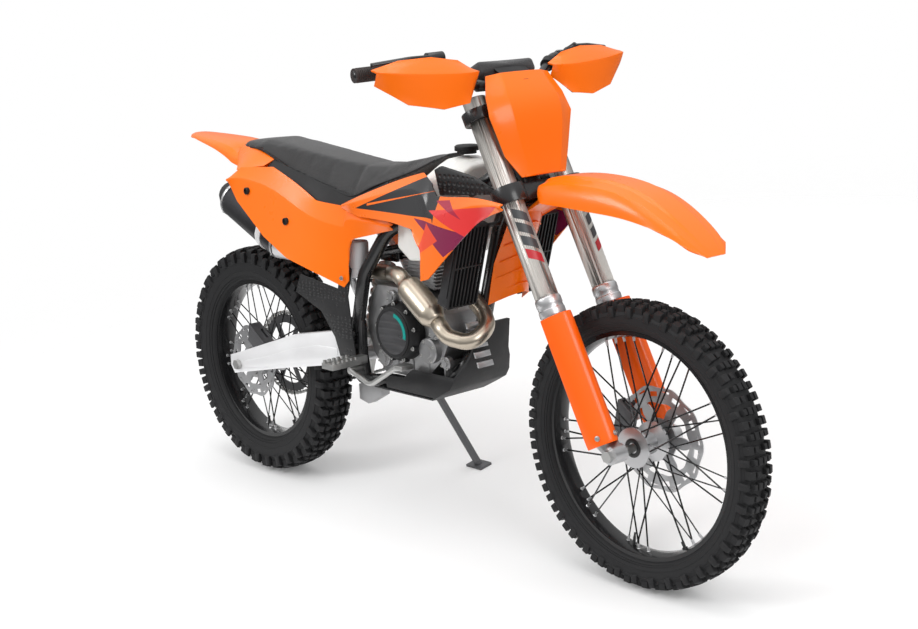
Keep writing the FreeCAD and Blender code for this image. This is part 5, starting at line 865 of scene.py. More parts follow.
class WheelsOperator(PieceOperator):
    """Finishes rims, spokes, hubs and discs, with nipples, rim locks and disc bolts."""

    bl_idname = "dirtbike.wheels"
    bl_label = "Wheels"

    def build(self, look_of):
        for end, place, seat, width, side, disc_radius in WHEELS:
            body = end + "_wheel"
            refined_all(look_of, body, (
                (end + "_rim", "rim", "black_metal", 0.0), (end + "_hub", "machined", "hub_alloy", 0.0),
            ), sharp=28)
            disc = brake_disc_mesh(disc_radius)
            disc.transform(Matrix.Translation((0, side, 0)))
            present(end + "_brake_disc", disc, body, look_of["disc"], place, (end + "_disc",),
                    sharp=28)
            seals = [turned_between(SEAL_PROFILE, 32, (0, 0, 0), (0, way, 0), closed=True) for way in (-1, 1)]
            present(end + "_hub_seals", united(seals), body, look_of["hose"], place)
            stem = turned_mesh(NIPPLE_PROFILE, 8)
            stem.transform(Matrix.Rotation(math.radians(90), 4, "X"))
            spots = []
            for index in range(9):
                for degrees, sign in SPOKES:
                    way = outward(40 * index + degrees)
                    spots.append((way * (seat + 1) + Vector((0, sign * width * 0.12, 0)),
                                  Vector((0, sign * 0.13, 0)) - way, 1.0))
            nipples = repeated("spots", stem, look_of["machined"], spots_mesh(spots))
            present(end + "_nipples", nipples, body, look_of["machined"], place)
            face = math.copysign(1, side)
            spots = [((x, side + 2.2 * face, -z), (0, face, 0), 5.5) for x, z in round_spots(0, 0, 41, 6, 15)]
            bolts(end + "_disc_bolts", body, look_of["steel"], spots, place)
            stems = [
                turned_between(profile, 12, outward(degrees) * (seat + 2), outward(degrees) * (seat - 40))
                for profile, degrees in ((VALVE_PROFILE, 98), (RIM_LOCK_PROFILE, 62))
            ]
            present(end + "_valve_and_lock", united(stems), body, look_of["hose"], place)
        refined("rear_sprocket", "rear_wheel", look_of["dark_cast"], sharp=28)
        refined("front_axle", "steering", look_of["steel"], sharp=28)
        refined("rear_axle", "chassis", look_of["steel"], sharp=28)
        refined("front_sprocket", "chassis", look_of["dark_cast"], sharp=28)


CHAIN_PITCH, CHAIN_SIDE = 15.875, 71.0
REAR_TEETH, FRONT_TEETH = 50, 14
SWINGARM_PIVOT_X, SWINGARM_PIVOT_HEIGHT = 548, 442
LINK_PLATE = (
    (-9.6, -3.4), (-7.0, -5.2), (-3.0, -3.2), (3.0, -3.2), (7.0, -5.2), (9.6, -3.4), (9.6, 3.4), (7.0, 5.2),
    (3.0, 3.2), (-3.0, 3.2), (-7.0, 5.2), (-9.6, 3.4),
)
LINK_ROLLER = ((0, -6.2), (4.4, -6.2), (4.4, 6.2), (0, 6.2))


def chain_line():
    """Points round the chain's pitch line in the bike's frame."""
    big = CHAIN_PITCH / 2 / math.sin(math.pi / REAR_TEETH)
    small = CHAIN_PITCH / 2 / math.sin(math.pi / FRONT_TEETH)
    rear = Vector((0, CHAIN_SIDE, REAR_AXLE_HEIGHT))
    front = Vector((SWINGARM_PIVOT_X + 3.4 * CHAIN_PITCH, CHAIN_SIDE, SWINGARM_PIVOT_HEIGHT))
    along = front - rear
    slope = math.atan2(along.z, along.x)
    lean = math.acos((big - small) / along.length)
    points = []
    steps = 24
    for centre, radius, start, stop in (
        (front, small, slope + lean, slope - lean), (rear, big, slope - lean, slope + lean - 2 * math.pi)
    ):
        for step in range(steps + 1):
            angle = mix(start, stop, step / steps)
            points.append(centre + Vector((radius * math.cos(angle), 0, radius * math.sin(angle))))
    return points


def walk(loop, reach):
    """The point and direction at a distance along a closed line."""
    for a, b in zip(loop, loop[1:] + loop[:1]):
        step = (b - a).length
        if reach <= step:
            return a + (b - a) * (reach / step), (b - a).normalized()
        reach -= step
    return loop[0], (loop[1] - loop[0]).normalized()


class ChainOperator(PieceOperator):
    """Builds the chain's links round both sprockets."""

    bl_idname = "dirtbike.chain"
    bl_label = "Chain"

    def build(self, look_of):
        plates = [prism_mesh(LINK_PLATE, low, high, 0.3) for low, high in ((-8.0, -6.4), (6.4, 8.0))]
        roller = turned_mesh(LINK_ROLLER, 10)
        roller.transform(Matrix.Translation((7.0, 0, 0)))
        outer = united(plates + [roller])
        inner = outer.copy()
        inner.transform(Matrix.Diagonal((1.0, 0.8, 0.92, 1.0)))
        loop = chain_line()
        length = sum((b - a).length for a, b in zip(loop, loop[1:] + loop[:1]))
        count = round(length / CHAIN_PITCH)
        parts = []
        for start, shape in enumerate((outer, inner)):
            for index in range(start, count, 2):
                spot, way = walk(loop, length * index / count)
                turned = shape.copy()
                turned.transform(Matrix.Translation(spot) @ Matrix.Rotation(-math.atan2(way.z, way.x), 4, "Y"))
                parts.append(turned)
        present("chain_links", united(parts), "chassis", look_of["steel"], BIKE, ("chain",), sharp=40)


# The fork tubes' place in the steering's frame, the prints round them, and the guards in front of them
FORK_X, FORK_SIDE, PRINT_RADIUS = 22, 98, 29.3
FORK_GUARD_SIDE, FORK_GUARD_DEEP, FORK_GUARD_HALF = 103, 56, 33
COLLAR_PROFILE = (
    (29.1, 350), (31.5, 351), (32.5, 356), (32.5, 366), (31.0, 368), (31.0, 376), (32.0, 378), (32.0, 392),
    (30.4, 396), (29.1, 397),
)
# A fork guard's sections: height, and shares of its depth and half width
FORK_GUARD_ROWS = (
    (28, 0.94, 0.96), (34, 0.97, 1.0), (70, 0.99, 1.0), (130, 1.0, 1.0), (240, 1.0, 1.0), (330, 1.0, 1.0),
    (344, 1.0, 1.0), (348, 0.985, 0.99),
)


class ForkOperator(PieceOperator):
    """Finishes the fork with its guards, seal collars and plain slanted bars."""

    bl_idname = "dirtbike.fork"
    bl_label = "Fork"

    def build(self, look_of):
        refined("fork_tubes", "steering", look_of["nickel"], sharp=28)
        refined("fork_legs", "steering", look_of["machined"], sharp=28)
        refined_all(look_of, "steering", (
            ("lower_clamp", "frame", "black_metal", 0.8), ("upper_clamp", "frame", "black_metal", 0.8),
            ("front_caliper", "dark_cast", "cast_alloy", 1.2),
        ))
        collars, greys, reds = [], [], []
        for side in (-FORK_SIDE, FORK_SIDE):
            collar = turned_mesh(COLLAR_PROFILE, 32)
            collar.transform(Matrix.Translation((FORK_X, side, 0)) @ Matrix.Rotation(math.radians(90), 4, "X"))
            collars.append(collar)
            for index in range(4):
                start = 600 - 34 * index
                rows = []
                for step in range(7):
                    angle = math.radians(mix(-62, 10, step / 6)) * (1 if side < 0 else -1)
                    lift = 22 * (1 - step / 6)
                    rows.append([
                        (FORK_X + PRINT_RADIUS * math.cos(angle), side + PRINT_RADIUS * math.sin(angle),
                         start + lift + drop)
                        for drop in (0, -24)
                    ])
                (reds if index == 3 else greys).append(tidy(applied(grid_mesh("bar", rows), walled(0.3))))
        present("fork_collars", united(collars), "steering", look_of["machined"], STEERING)
        present("fork_grey_bars", united(greys), "steering", look_of["grey_print"], STEERING)
        present("fork_red_bars", united(reds), "steering", look_of["red_print"], STEERING)
        shells, spots = [], []
        for side in (-1, 1):
            rows = []
            for w, deep, wide in FORK_GUARD_ROWS:
                row = []
                for step in range(-6, 7):
                    angle = math.radians(100) * step / 6
                    flat = math.copysign(abs(math.cos(angle)) ** 0.9, math.cos(angle))
                    row.append((
                        FORK_X + FORK_GUARD_DEEP * deep * flat,
                        side * FORK_GUARD_SIDE + FORK_GUARD_HALF * wide * math.sin(angle), w,
                    ))
                rows.append(row)
            shells.append(panel_mesh(rows, look().wall, corner=60))
            for w, degrees in ((46, -62), (46, 8), (70, 62)):
                angle = math.radians(degrees) * -side
                spots.append((
                    (FORK_X + (FORK_GUARD_DEEP - 1) * abs(math.cos(angle)) ** 0.9,
                     side * FORK_GUARD_SIDE + FORK_GUARD_HALF * math.sin(angle), w),
                    (math.cos(angle), 1.6 * math.sin(angle), 0), 6.5,
                ))
        present("fork_guard_shells", united(shells), "steering", look_of["guard"], STEERING,
                ("fork_guards",))
        bolts("fork_guard_bolts", "steering", look_of["steel"], spots, STEERING)


def arch(half, edge, shoulder, crown, ridge=0.0):
    """A fender's section from its left edge over the crown to its right edge, as points of side and height."""
    left = [
        (half, edge), (0.96 * half, mix(edge, shoulder, 0.6)), (0.80 * half, shoulder),
        (0.50 * half, mix(shoulder, crown, 0.60) - ridge), (0.40 * half, mix(shoulder, crown, 0.86) + ridge),
    ]
    return left + [(0, crown)] + [(-side, height) for side, height in reversed(left)]


def rounded(half_low, low, half_high, shoulder, top):
    """A closed section with a flat foot and a rounded top, as points of side and height."""
    left = [
        (half_low, low), (mix(half_low, half_high, 0.4), mix(low, shoulder, 0.5)), (half_high, shoulder),
        (0.84 * half_high, mix(shoulder, top, 0.52)), (0.50 * half_high, mix(shoulder, top, 0.90)),
    ]
    return left + [(0, top)] + [(-side, height) for side, height in reversed(left)]


def closed_loft(sections):
    """A closed body through sections that have the same number of points."""
    count, last = len(sections[0]), len(sections) - 1
    points = [point for section in sections for point in section]
    faces = []
    for row in range(last):
        foot = row * count
        for index in range(count):
            nxt = (index + 1) % count
            faces.append((foot + index, foot + nxt, foot + count + nxt, foot + count + index))
    faces += [tuple(range(count)), tuple(range(last * count, (last + 1) * count))]
    return tidy(mesh_from("loft", points, faces))


# The front fender's sections: place along it, fall, half width, depth and slope in degrees
FENDER_LENGTH, FENDER_TOP, FENDER_FALL, FENDER_HALF, FENDER_DEPTH = 560, 702, 375, 90, 72
FENDER_ROWS = (
    (-0.085, 0.215, 0.60, 0.12, -6), (0.050, 0.205, 0.64, 0.18, -6), (0.120, 0.195, 0.66, 0.24, -10),
    (0.142, 0.110, 0.88, 0.70, -8), (0.190, 0.105, 0.96, 0.84, 8), (0.330, 0.180, 1.00, 0.96, 18),
    (0.480, 0.300, 1.00, 1.00, 27), (0.640, 0.470, 0.98, 0.84, 40), (0.750, 0.735, 0.90, 0.36, 60),
    (0.805, 0.930, 0.70, 0.10, 70), (0.818, 1.010, 0.36, 0.03, 76),
)
# The flap behind it: height, half width, and how far its edge and middle stand back
FLAP_FOOT, FLAP_HEIGHT, FLAP_HALF, FLAP_REACH = 456, 168, 62, 188
FLAP_ROWS = (
    (1.0, 0.92, -0.20, -0.06), (0.80, 0.97, -0.42, -0.22), (0.50, 1.0, -0.78, -0.44), (0.22, 1.0, -1.0, -0.60),
    (0.0, 0.98, -1.17, -0.76),
)
# The number plate: height, half width, and how far its middle and sides stand forward
PLATE_FOOT, PLATE_HEIGHT, PLATE_HALF, PLATE_REACH = 684, 250, 138, 62
PLATE_ROWS = (
    (0, 0.54, 1.14, 0.98), (0.22, 0.78, 1.40, 1.02), (0.58, 1.00, 1.98, 1.47), (0.78, 0.94, 1.98, 1.50),
    (1.0, 0.76, 1.76, 1.50),
)
# A handguard: place along the bar, then the reach and height of its upper and lower edge
GUARD_SIDE, GUARD_REACH, GUARD_FOOT, GUARD_HEIGHT = 405, 96, 950.7, 112
GUARD_ROWS = (
    (0.31, 0.96, 0.06, 0.86, -0.22), (0.43, 1.08, 0.26, 0.94, -0.68), (0.62, 1.06, 0.38, 0.88, -0.74),
    (0.84, 0.94, 0.40, 0.74, -0.52), (1.02, 0.78, 0.30, 0.66, -0.02),
)
GUARD_CLAMP, BAR_BEND, BAR_END = (34.6, 180.2, 976.6), (29.3, 210.6, 996.6), (-5, 405, 1004)


def on_side(point, side):
    """A point drawn on the bike's left, on either side of it."""
    x, y, z = point
    return Vector((x, side * y, z))


class FrontPanelsOperator(PieceOperator):
    """Builds the front fender, its flap, the number plate and the handguards."""

    bl_idname = "dirtbike.front_panels"
    bl_label = "Front panels"

    def build(self, look_of):
        wall = look().wall
        rows = []
        for u, fall, half, drop, slope in FENDER_ROWS:
            turn, drop = math.radians(slope), drop * FENDER_DEPTH
            centre = Vector((u * FENDER_LENGTH, 0, FENDER_TOP - fall * FENDER_FALL))
            section = arch(half * FENDER_HALF, -drop, -0.22 * drop, 0, 1.6 * drop / FENDER_DEPTH)
            rows.append([
                centre + Vector((height * math.sin(turn), side, height * math.cos(turn))) for side, height in section
            ])
        shells = [panel_mesh(rows, wall, folds=(2, 3, 4, 6, 7, 8))]
        rows = []
        for w, half, edge, middle in FLAP_ROWS:
            half, edge, middle = half * FLAP_HALF, edge * FLAP_REACH, middle * FLAP_REACH
            shoulder = mix(edge, middle, 0.72)
            section = ((half, edge), (0.6 * half, shoulder), (0, middle), (-0.6 * half, shoulder), (-half, edge))
            rows.append([Vector((u, side, FLAP_FOOT + FLAP_HEIGHT * w)) for side, u in section])
        shells.append(panel_mesh(rows, wall))
        for w in (0.12, 0.30, 0.48, 0.66, 0.84):
            edge, middle = mix(-0.20, -1.17, 1 - w) * FLAP_REACH, mix(-0.06, -0.76, 1 - w) * FLAP_REACH
            rib = [
                (middle + 1.5 + share * (edge - middle), side * 56, FLAP_FOOT + FLAP_HEIGHT * w)
                for side, share in ((-1, 1), (-0.6, 0.28), (0, 0), (0.6, 0.28), (1, 1))
            ]
            shells.append(tube_mesh(rib, 2.2, 3, 4))
        present("front_fender_shell", united(shells), "steering", look_of["orange"], STEERING,
                ("front_fender",), sharp=12)
        rows = []
        for w, half, front, side in PLATE_ROWS:
            half, front, side = half * PLATE_HALF, front * PLATE_REACH, side * PLATE_REACH
            cheek = mix(side, front, 0.86)
            section = ((-half, side), (-0.62 * half, cheek), (0, front), (0.62 * half, cheek), (half, side))
            rows.append([Vector((u, y, PLATE_FOOT + PLATE_HEIGHT * w)) for y, u in section])
        rim = [
            (reach * PLATE_REACH, side * PLATE_HALF, PLATE_FOOT + 1)
            for reach, side in ((1.05, -0.48), (1.12, 0), (1.05, 0.48))
        ]
        plate = [panel_mesh(rows, wall, corner=8, folds=(1, 3)), tube_mesh(rim, 2.4, 4, 4)]
        present("number_plate_shell", united(plate), "steering", look_of["orange"], STEERING,
                ("number_plate",), sharp=10)
        rows = []
        for share in (0.0, 0.35, 0.70, 1.0):
            front, height = PLATE_REACH * mix(1.86, 1.30, share), PLATE_FOOT + PLATE_HEIGHT * mix(0.90, 1.10, share)
            rows.append([Vector((front - abs(y) / 12, y, height)) for y in (-52, -26, 0, 26, 52)])
        present("plate_cowl", panel_mesh(rows, wall), "steering", look_of["black"], STEERING)
        shells, mounts = [], []
        for side in (-1, 1):
            rows = []
            for y, u_high, w_high, u_low, w_low in GUARD_ROWS:
                high, low = (
                    Vector((u * GUARD_REACH, side * y * GUARD_SIDE, GUARD_FOOT + GUARD_HEIGHT * w))
                    for u, w in ((u_high, w_high), (u_low, w_low))
                )
                row = [
                    low.lerp(high, share) + Vector((push, 0, 0))
                    for share, push in ((0.0, -6), (0.30, 5), (0.60, 13), (0.85, 1), (1.0, -9))
                ]
                rows.append(row if side > 0 else row[::-1])
            shells.append(panel_mesh(rows[::-1], 4, corner=8, edge=1.2, folds=(2,)))
            clamp, middle = on_side(GUARD_CLAMP, side), Vector((99, side * GUARD_CLAMP[1], 953))
            long = (middle - clamp).length
            mounts.append(turned_between([(0, 0), (7, 0), (7, long), (0, long)], 14, clamp, middle))
            ring = [(11.4, -11), (17, -11), (17.5, -10), (17.5, 10), (17, 11), (11.4, 11)]
            mounts.append(turned_between(ring, 24, clamp, on_side(BAR_BEND, side), closed=True))
        present("handguard_shells", united(shells), "steering", look_of["orange"], STEERING,
                ("handguards",), sharp=9)
        present("handguard_mounts", united(mounts), "steering", look_of["black"], STEERING)


GRIP_LENGTH, GRIP_RIBS = 120, 22


class BarsOperator(PieceOperator):
    """Finishes the handlebar, grips, controls and the padded bar pad."""

    bl_idname = "dirtbike.bars"
    bl_label = "Handlebar"

    def build(self, look_of):
        refined("handlebar", "steering", look_of["frame"], sharp=40)
        refined("controls", "steering", look_of["frame"], 0.6)
        profile = [(11, 0), (25, 0), (25, 4), (17.4, 6)]
        for rib in range(GRIP_RIBS):
            foot = 9 + rib * 4.8
            profile += [(16.0, foot), (17.4, foot + 0.9), (17.4, foot + 2.9), (16.0, foot + 3.8)]
        profile += [(17, 116), (17, GRIP_LENGTH), (0, GRIP_LENGTH)]
        end = on_side(BAR_END, -1)
        way = (end - on_side(BAR_BEND, -1)).normalized()
        grip = turned_between(profile, 28, end - way * GRIP_LENGTH, end)
        present("grips_ribbed", united([grip, mirrored(grip)]), "steering", look_of["grip"], STEERING,
                ("grips",), sharp=50)
        body = block_mesh((19, -93, 946), (75, 93, 983), 9.0)
        pad = inflate("bar_pad_cover", body, 3.0, 4.0, STEERING)
        made = present("bar_pad_cover", pad, "steering", look_of["foam"], None, ("bar_pad",), sharp=60)


# Frames of the cloth run, and the height over a cover's foot in which it is let go, in millimetres
CLOTH_STEPS, HELD_BAND = 20, 25


def inflate(name, body, voxel, cap, place, keep_below=None):
    """A padded cover: the form is blown up by a short cloth run, each point held within a cap, then placed."""
    mesh = body.copy()
    mesh.transform(MM)
    mesh = applied(mesh, ("REMESH", {"mode": "VOXEL", "voxel_size": voxel / 1000}))
    rest = [vertex.co.copy() for vertex in mesh.vertices]
    holder = link("cloth_run", mesh)
    cloth = holder.modifiers.new("cloth", "CLOTH")
    cloth.settings.use_pressure = True
    cloth.settings.uniform_pressure_force = 4.0
    cloth.settings.effector_weights.gravity = 0.0
    cloth.settings.quality = 5
    cloth.point_cache.frame_start = 1
    cloth.point_cache.frame_end = CLOTH_STEPS
    scene = bpy.context.scene
    for step in range(1, CLOTH_STEPS + 1):
        scene.frame_set(step)
    blown = evaluated(holder)
    moved = [vertex.co.copy() for vertex in blown.vertices]
    bpy.data.meshes.remove(blown)
    scene.frame_set(1)
    for vertex, start, end in zip(mesh.vertices, rest, moved):
        shift = end - start
        reach = cap / 1000
        if keep_below is not None:
            share = (start.z * 1000 - keep_below(start.x * 1000)) / HELD_BAND
            reach *= max(0.0, min(1.0, share))
        if shift.length > reach:
            shift *= reach / shift.length
        vertex.co = start + shift
    mesh = applied(mesh, ("SMOOTH", {"factor": 0.5, "iterations": 4}), smoothed(1))
    mesh.name = name
    mesh.transform(place @ MM.inverted())
    return mesh


# The seat's sections: place along it, foot, shoulder and crown, and half width at the foot and the shoulder
SEAT_ROWS = (
    (0.000, 0.790, 0.845, 0.880, 0.42, 0.36), (0.060, 0.800, 0.920, 0.955, 0.66, 0.62),
    (0.170, 0.800, 0.965, 1.000, 0.80, 0.72), (0.345, 0.390, 0.810, 0.855, 0.84, 0.66),
    (0.520, 0.150, 0.665, 0.710, 0.88, 0.58), (0.655, 0.000, 0.570, 0.615, 0.98, 0.52),
    (0.760, 0.270, 0.590, 0.640, 0.94, 0.50), (0.900, 0.560, 0.730, 0.800, 0.72, 0.50),
    (1.000, 0.860, 0.900, 0.960, 0.44, 0.36),
)
SEAT_X, SEAT_LENGTH, SEAT_FOOT, SEAT_HEIGHT, SEAT_HALF = -5, 892, 876, 139, 110


def table_at(rows, x):
    """A row of a table at any share along it."""
    for a, b in zip(rows, rows[1:]):
        if x <= b[0]:
            share = max(0.0, (x - a[0]) / (b[0] - a[0]))
            return [mix(p, q, share) for p, q in zip(a, b)]
    return list(rows[-1])


def seat_foot(x):
    """The height of the seat's lower edge at a place along the bike."""
    return SEAT_FOOT + table_at(SEAT_ROWS, (x - SEAT_X) / SEAT_LENGTH)[1] * SEAT_HEIGHT


class SeatOperator(PieceOperator):
    """Builds the seat as foam under a cover, with its welted seam."""

    bl_idname = "dirtbike.seat"
    bl_label = "Seat"

    def build(self, look_of):
        # The foam is drawn a little small, because the cover swells
        sections = []
        for x, low, shoulder, top, low_half, half in SEAT_ROWS:
            section = rounded(
                low_half * SEAT_HALF - 3, SEAT_FOOT + low * SEAT_HEIGHT, half * SEAT_HALF - 3,
                SEAT_FOOT + shoulder * SEAT_HEIGHT - 2, SEAT_FOOT + top * SEAT_HEIGHT - 4,
            )
            ends = 6 if x == 0 else (-6 if x == 1 else 0)
            sections.append([Vector((SEAT_X + x * SEAT_LENGTH + ends, side, height)) for side, height in section])
        cover = inflate("seat_cover", closed_loft(sections), 6.0, 5.0, BIKE, lambda x: seat_foot(x) + 2)
        made = present("seat_cover_padded", cover, "chassis", look_of["cover"], None, ("seat",),
                       sharp=60)
        welts = []
        for side in (-1, 1):
            line = []
            for step in range(25):
                share = mix(0.10, 0.97, step / 24)
                row = table_at(SEAT_ROWS, share)
                line.append((SEAT_X + share * SEAT_LENGTH, side * (row[4] * SEAT_HALF - 1.5),
                             SEAT_FOOT + row[1] * SEAT_HEIGHT + 3))
            welts.append(tube_mesh(line, 2.2, 3, 4))
        present("seat_welt", united(welts), "chassis", look_of["black"], BIKE)


# The tank's sections: place along it, foot, shoulder and crown, and half width at the foot and the shoulder
TANK_X, TANK_LENGTH, TANK_FOOT, TANK_HEIGHT, TANK_HALF = 762, 240, 735, 270, 132
TANK_ROWS = (
    (0.00, 0.10, 0.56, 0.66, 0.86, 0.76), (0.28, 0.00, 0.66, 0.76, 1.00, 0.86),
    (0.58, 0.02, 0.84, 0.97, 1.00, 0.70), (0.80, 0.18, 0.82, 0.94, 0.94, 0.62),
    (0.92, 0.46, 0.80, 0.90, 0.84, 0.58),
)
# Shrouds and side panels: start, length, foot, height and half width, then sections with their place, lower and
# upper edge, and how far out each edge stands
SHROUD_BOX, SIDE_PANEL_BOX = (590, 661, 702, 266, 190), (104, 684, 636, 311, 180)
SHROUD_ROWS = (
    (0.0, 0.570, 0.620, 0.75, 0.74), (0.110, 0.520, 0.720, 0.79, 0.74), (0.330, 0.520, 0.905, 0.86, 0.66),
    (0.470, 0.480, 0.985, 0.95, 0.67), (0.530, 0.300, 0.900, 1.00, 0.72), (0.545, 0.020, 0.870, 1.04, 0.76),
    (0.590, 0.050, 0.800, 1.05, 0.83), (0.670, 0.235, 0.805, 1.03, 0.90), (0.780, 0.480, 0.828, 1.00, 0.94),
    (0.865, 0.650, 0.830, 0.98, 0.96), (0.985, 0.760, 0.797, 1.00, 1.00),
)
SIDE_ROWS = (
    (0.0, 0.855, 0.880, 0.95, 0.94), (0.064, 0.690, 0.985, 0.98, 0.86), (0.240, 0.400, 1.00, 1.00, 0.72),
    (0.385, 0.230, 0.865, 0.99, 0.68), (0.500, 0.150, 0.730, 0.92, 0.68), (0.680, 0.020, 0.715, 0.78, 0.70),
    (0.705, 0.080, 0.700, 0.76, 0.71), (0.712, 0.435, 0.695, 0.76, 0.72), (0.850, 0.500, 0.655, 0.78, 0.76),
    (1.0, 0.580, 0.615, 0.80, 0.80),
)
# The rear fender's sections: place along it, half width, edge, shoulder and crown
REAR_FENDER_X, REAR_FENDER_LENGTH, REAR_FENDER_FOOT, REAR_FENDER_HEIGHT = -303, 560, 925, 95
REAR_FENDER_HALF, UNDERSIDE_HALF = 98, 70
REAR_FENDER_ROWS = (
    (0.0, 0.25, 0.86, 0.900, 0.940), (0.040, 0.42, 0.84, 0.930, 0.970), (0.200, 0.66, 0.72, 0.860, 0.920),
    (0.380, 0.84, 0.56, 0.780, 0.860), (0.500, 0.90, 0.32, 0.650, 0.740), (0.540, 0.92, 0.20, 0.500, 0.580),
    (0.620, 0.96, 0.08, 0.460, 0.560), (0.800, 1.0, -0.05, 0.380, 0.500), (1.0, 1.0, -0.20, 0.050, 0.120),
)
# Strips of plastic on each side: x, then the height and side of their lower and upper edge, in millimetres
TAIL_SIDE_ROWS = (
    (20, 968, 74, 988, 66), (70, 944, 112, 990, 72), (110, 932, 146, 986, 78), (147, 938, 138, 982, 83),
    (215, 946, 126, 962, 86),
)
AIRBOX_ROWS = (
    (216, 934, 127, 962, 86), (303, 910, 125, 936, 90), (366, 886, 121, 925, 92), (459, 845, 119, 902, 94),
    (579, 836, 119, 884, 102), (640, 836, 124, 902, 100), (720, 838, 128, 930, 92),
)
KNEE_PAD = ((923, 972), (945, 982), (1060, 962), (1153, 924), (1040, 916), (940, 908))
GROMMET_PROFILE = ((0, -3), (10, -3), (10, 12), (7.5, 13), (6.5, 9), (0, 9))
# Flashes of the shrouds: a colour and three corners in side view
SHROUD_FLASHES = (
    ((0.012, 0.012, 0.014), ((650, 862), (940, 965), (985, 862))),
    ((0.012, 0.012, 0.014), ((930, 975), (1000, 930), (985, 850))),
    ((1.0, 0.17, 0.0), ((700, 872), (985, 930), (700, 878))),
    ((0.22, 0.008, 0.06), ((905, 858), (1130, 835), (1035, 775))),
    ((0.80, 0.035, 0.035), ((960, 880), (1110, 830), (1230, 912))),
    ((0.42, 0.015, 0.05), ((985, 905), (1100, 870), (1045, 912))),
    ((0.85, 0.07, 0.02), ((930, 770), (1010, 812), (955, 850))),
)


def side_shells(rows, x0, length, foot, height, half):
    """A panel on each side of the bike from rows of its lower and upper edges."""
    shells = []
    for side in (-1, 1):
        grid = []
        for x, low, high, out_low, out_high in rows:
            row = [
                Vector((x0 + x * length, side * (mix(out_low, out_high, share) * half + bow),
                        foot + mix(low, high, share) * height))
                for share, bow in ((0.0, 0), (0.25, 3.5), (0.5, 7.0), (0.75, 10.5), (1.0, 0))
            ]
            grid.append(row if side < 0 else row[::-1])
        shells.append(panel_mesh(grid, look().wall, corner=9.0, folds=(3,) if side < 0 else (1,)))
    return united(shells)


def side_strips(rows):
    """A thin strip on each side of the bike."""
    strips = []
    for side in (-1, 1):
        grid = [
            [Vector((x, side * mix(low_out, high_out, share), mix(low, high, share))) for share in (0.0, 0.5, 1.0)]
            for x, low, low_out, high, high_out in rows
        ]
        strips.append(panel_mesh(grid if side < 0 else [row[::-1] for row in grid], 2.5))
    return united(strips)


def fender_row(x, half, *heights):
    """A section of the rear fender, or of the sheet under it, from its half width and its three heights."""
    return [
        Vector((REAR_FENDER_X + REAR_FENDER_LENGTH * x, side, height)) for side, height in arch(half, *heights)
    ]


class BodyPanelsOperator(PieceOperator):
    """Builds the tank, shrouds, side panels and rear fender."""

    bl_idname = "dirtbike.body_panels"
    bl_label = "Body panels"

    def build(self, look_of):
        sections = []
        for x, low, shoulder, top, low_half, half in TANK_ROWS:
            low, shoulder, top = (TANK_FOOT + level * TANK_HEIGHT for level in (low, shoulder, top))
            section = rounded(low_half * TANK_HALF, low, half * TANK_HALF, shoulder, top)
            sections.append([Vector((TANK_X + x * TANK_LENGTH, side, height)) for side, height in section])
        tank = tidy(applied(closed_loft(sections), eased(16, 20, segments=5)))
        present("fuel_tank_smooth", tank, "chassis", look_of["tank"], BIKE, ("fuel_tank",), sharp=60)
        refined("tank_cap", "chassis", look_of["black"], 0.8)
        painted = finish("shroud_artwork", look().orange, 0.28, coat=0.4, tone=(5.0, 0.05),
                         relief_values={"Scale": 900.0, "Strength": 0.03, "Distance": 0.0005}, rough_swing=0.05)
        flashes(painted, SHROUD_FLASHES)
        present("shroud_shells", side_shells(SHROUD_ROWS, *SHROUD_BOX), "chassis", painted, BIKE,
                ("shrouds",), sharp=10)
        present("side_panel_shells", side_shells(SIDE_ROWS, *SIDE_PANEL_BOX), "chassis", look_of["orange"],
                BIKE, ("side_panels",), sharp=8)
        foot, tall = REAR_FENDER_FOOT, REAR_FENDER_HEIGHT
        rows = [
            fender_row(x, half * REAR_FENDER_HALF, foot + edge * tall, foot + shoulder * tall, foot + crown * tall)
            for x, half, edge, shoulder, crown in REAR_FENDER_ROWS
        ]
        present("rear_fender_shell", panel_mesh(rows, look().wall, folds=(2, 8)), "chassis", look_of["orange"],
                BIKE, ("rear_fender",), sharp=12)
        foot -= 5.5
        rows = [
            fender_row(x, half * UNDERSIDE_HALF, foot + edge * tall + 4, foot + mix(edge, shoulder, 0.8) * tall,
                       foot + mix(edge, crown, 0.8) * tall)
            for x, half, edge, shoulder, crown in REAR_FENDER_ROWS[1:6]
        ]
        present("tail_underside", panel_mesh(rows, 2.5), "chassis", look_of["black"], BIKE)
        present("tail_sides", side_strips(TAIL_SIDE_ROWS), "chassis", look_of["orange"], BIKE,
                sharp=12)
        present("airbox_cover", side_strips(AIRBOX_ROWS), "chassis", look_of["black"], BIKE)
        present("tank_grip_pads", both_sides(KNEE_PAD, 104, 116, 2.5), "chassis", look_of["dimpled"],
                BIKE)
        grommets = [
            turned_between(GROMMET_PROFILE, 20, (x, side * (y - 4), z), (x, side * (y + 10), z))
            for x, y, z in ((192, 170, 881), (353, 160, 806)) for side in (-1, 1)
        ]
        present("panel_grommets", united(grommets), "chassis", look_of["black"], BIKE)
        spots = [
            ((x, side * y, z), (0, side, 0), 6.5)
            for x, y, z in ((570, 150, 668), (1160, 186, 902)) for side in (-1, 1)
        ]
        bolts("panel_bolts", "chassis", look_of["steel"], spots)


RESERVOIR_PROFILE = (
    (0, 0), (20, 0), (23, 3), (23, 20), (24, 21), (24, 26), (23, 27), (23, 92), (21, 97), (0, 98),
)
# The hollow in the swingarm's side, as shares of a box in side view
SWINGARM_X, SWINGARM_LENGTH, SWINGARM_FOOT, SWINGARM_HEIGHT = -42, 547, 311, 194
SWINGARM_RELIEF = (
    (0.12, 0.13), (0.30, 0.20), (0.51, 0.34), (0.97, 0.58), (0.97, 0.76), (0.80, 0.74), (0.58, 0.60), (0.36, 0.40),
    (0.14, 0.24),
)


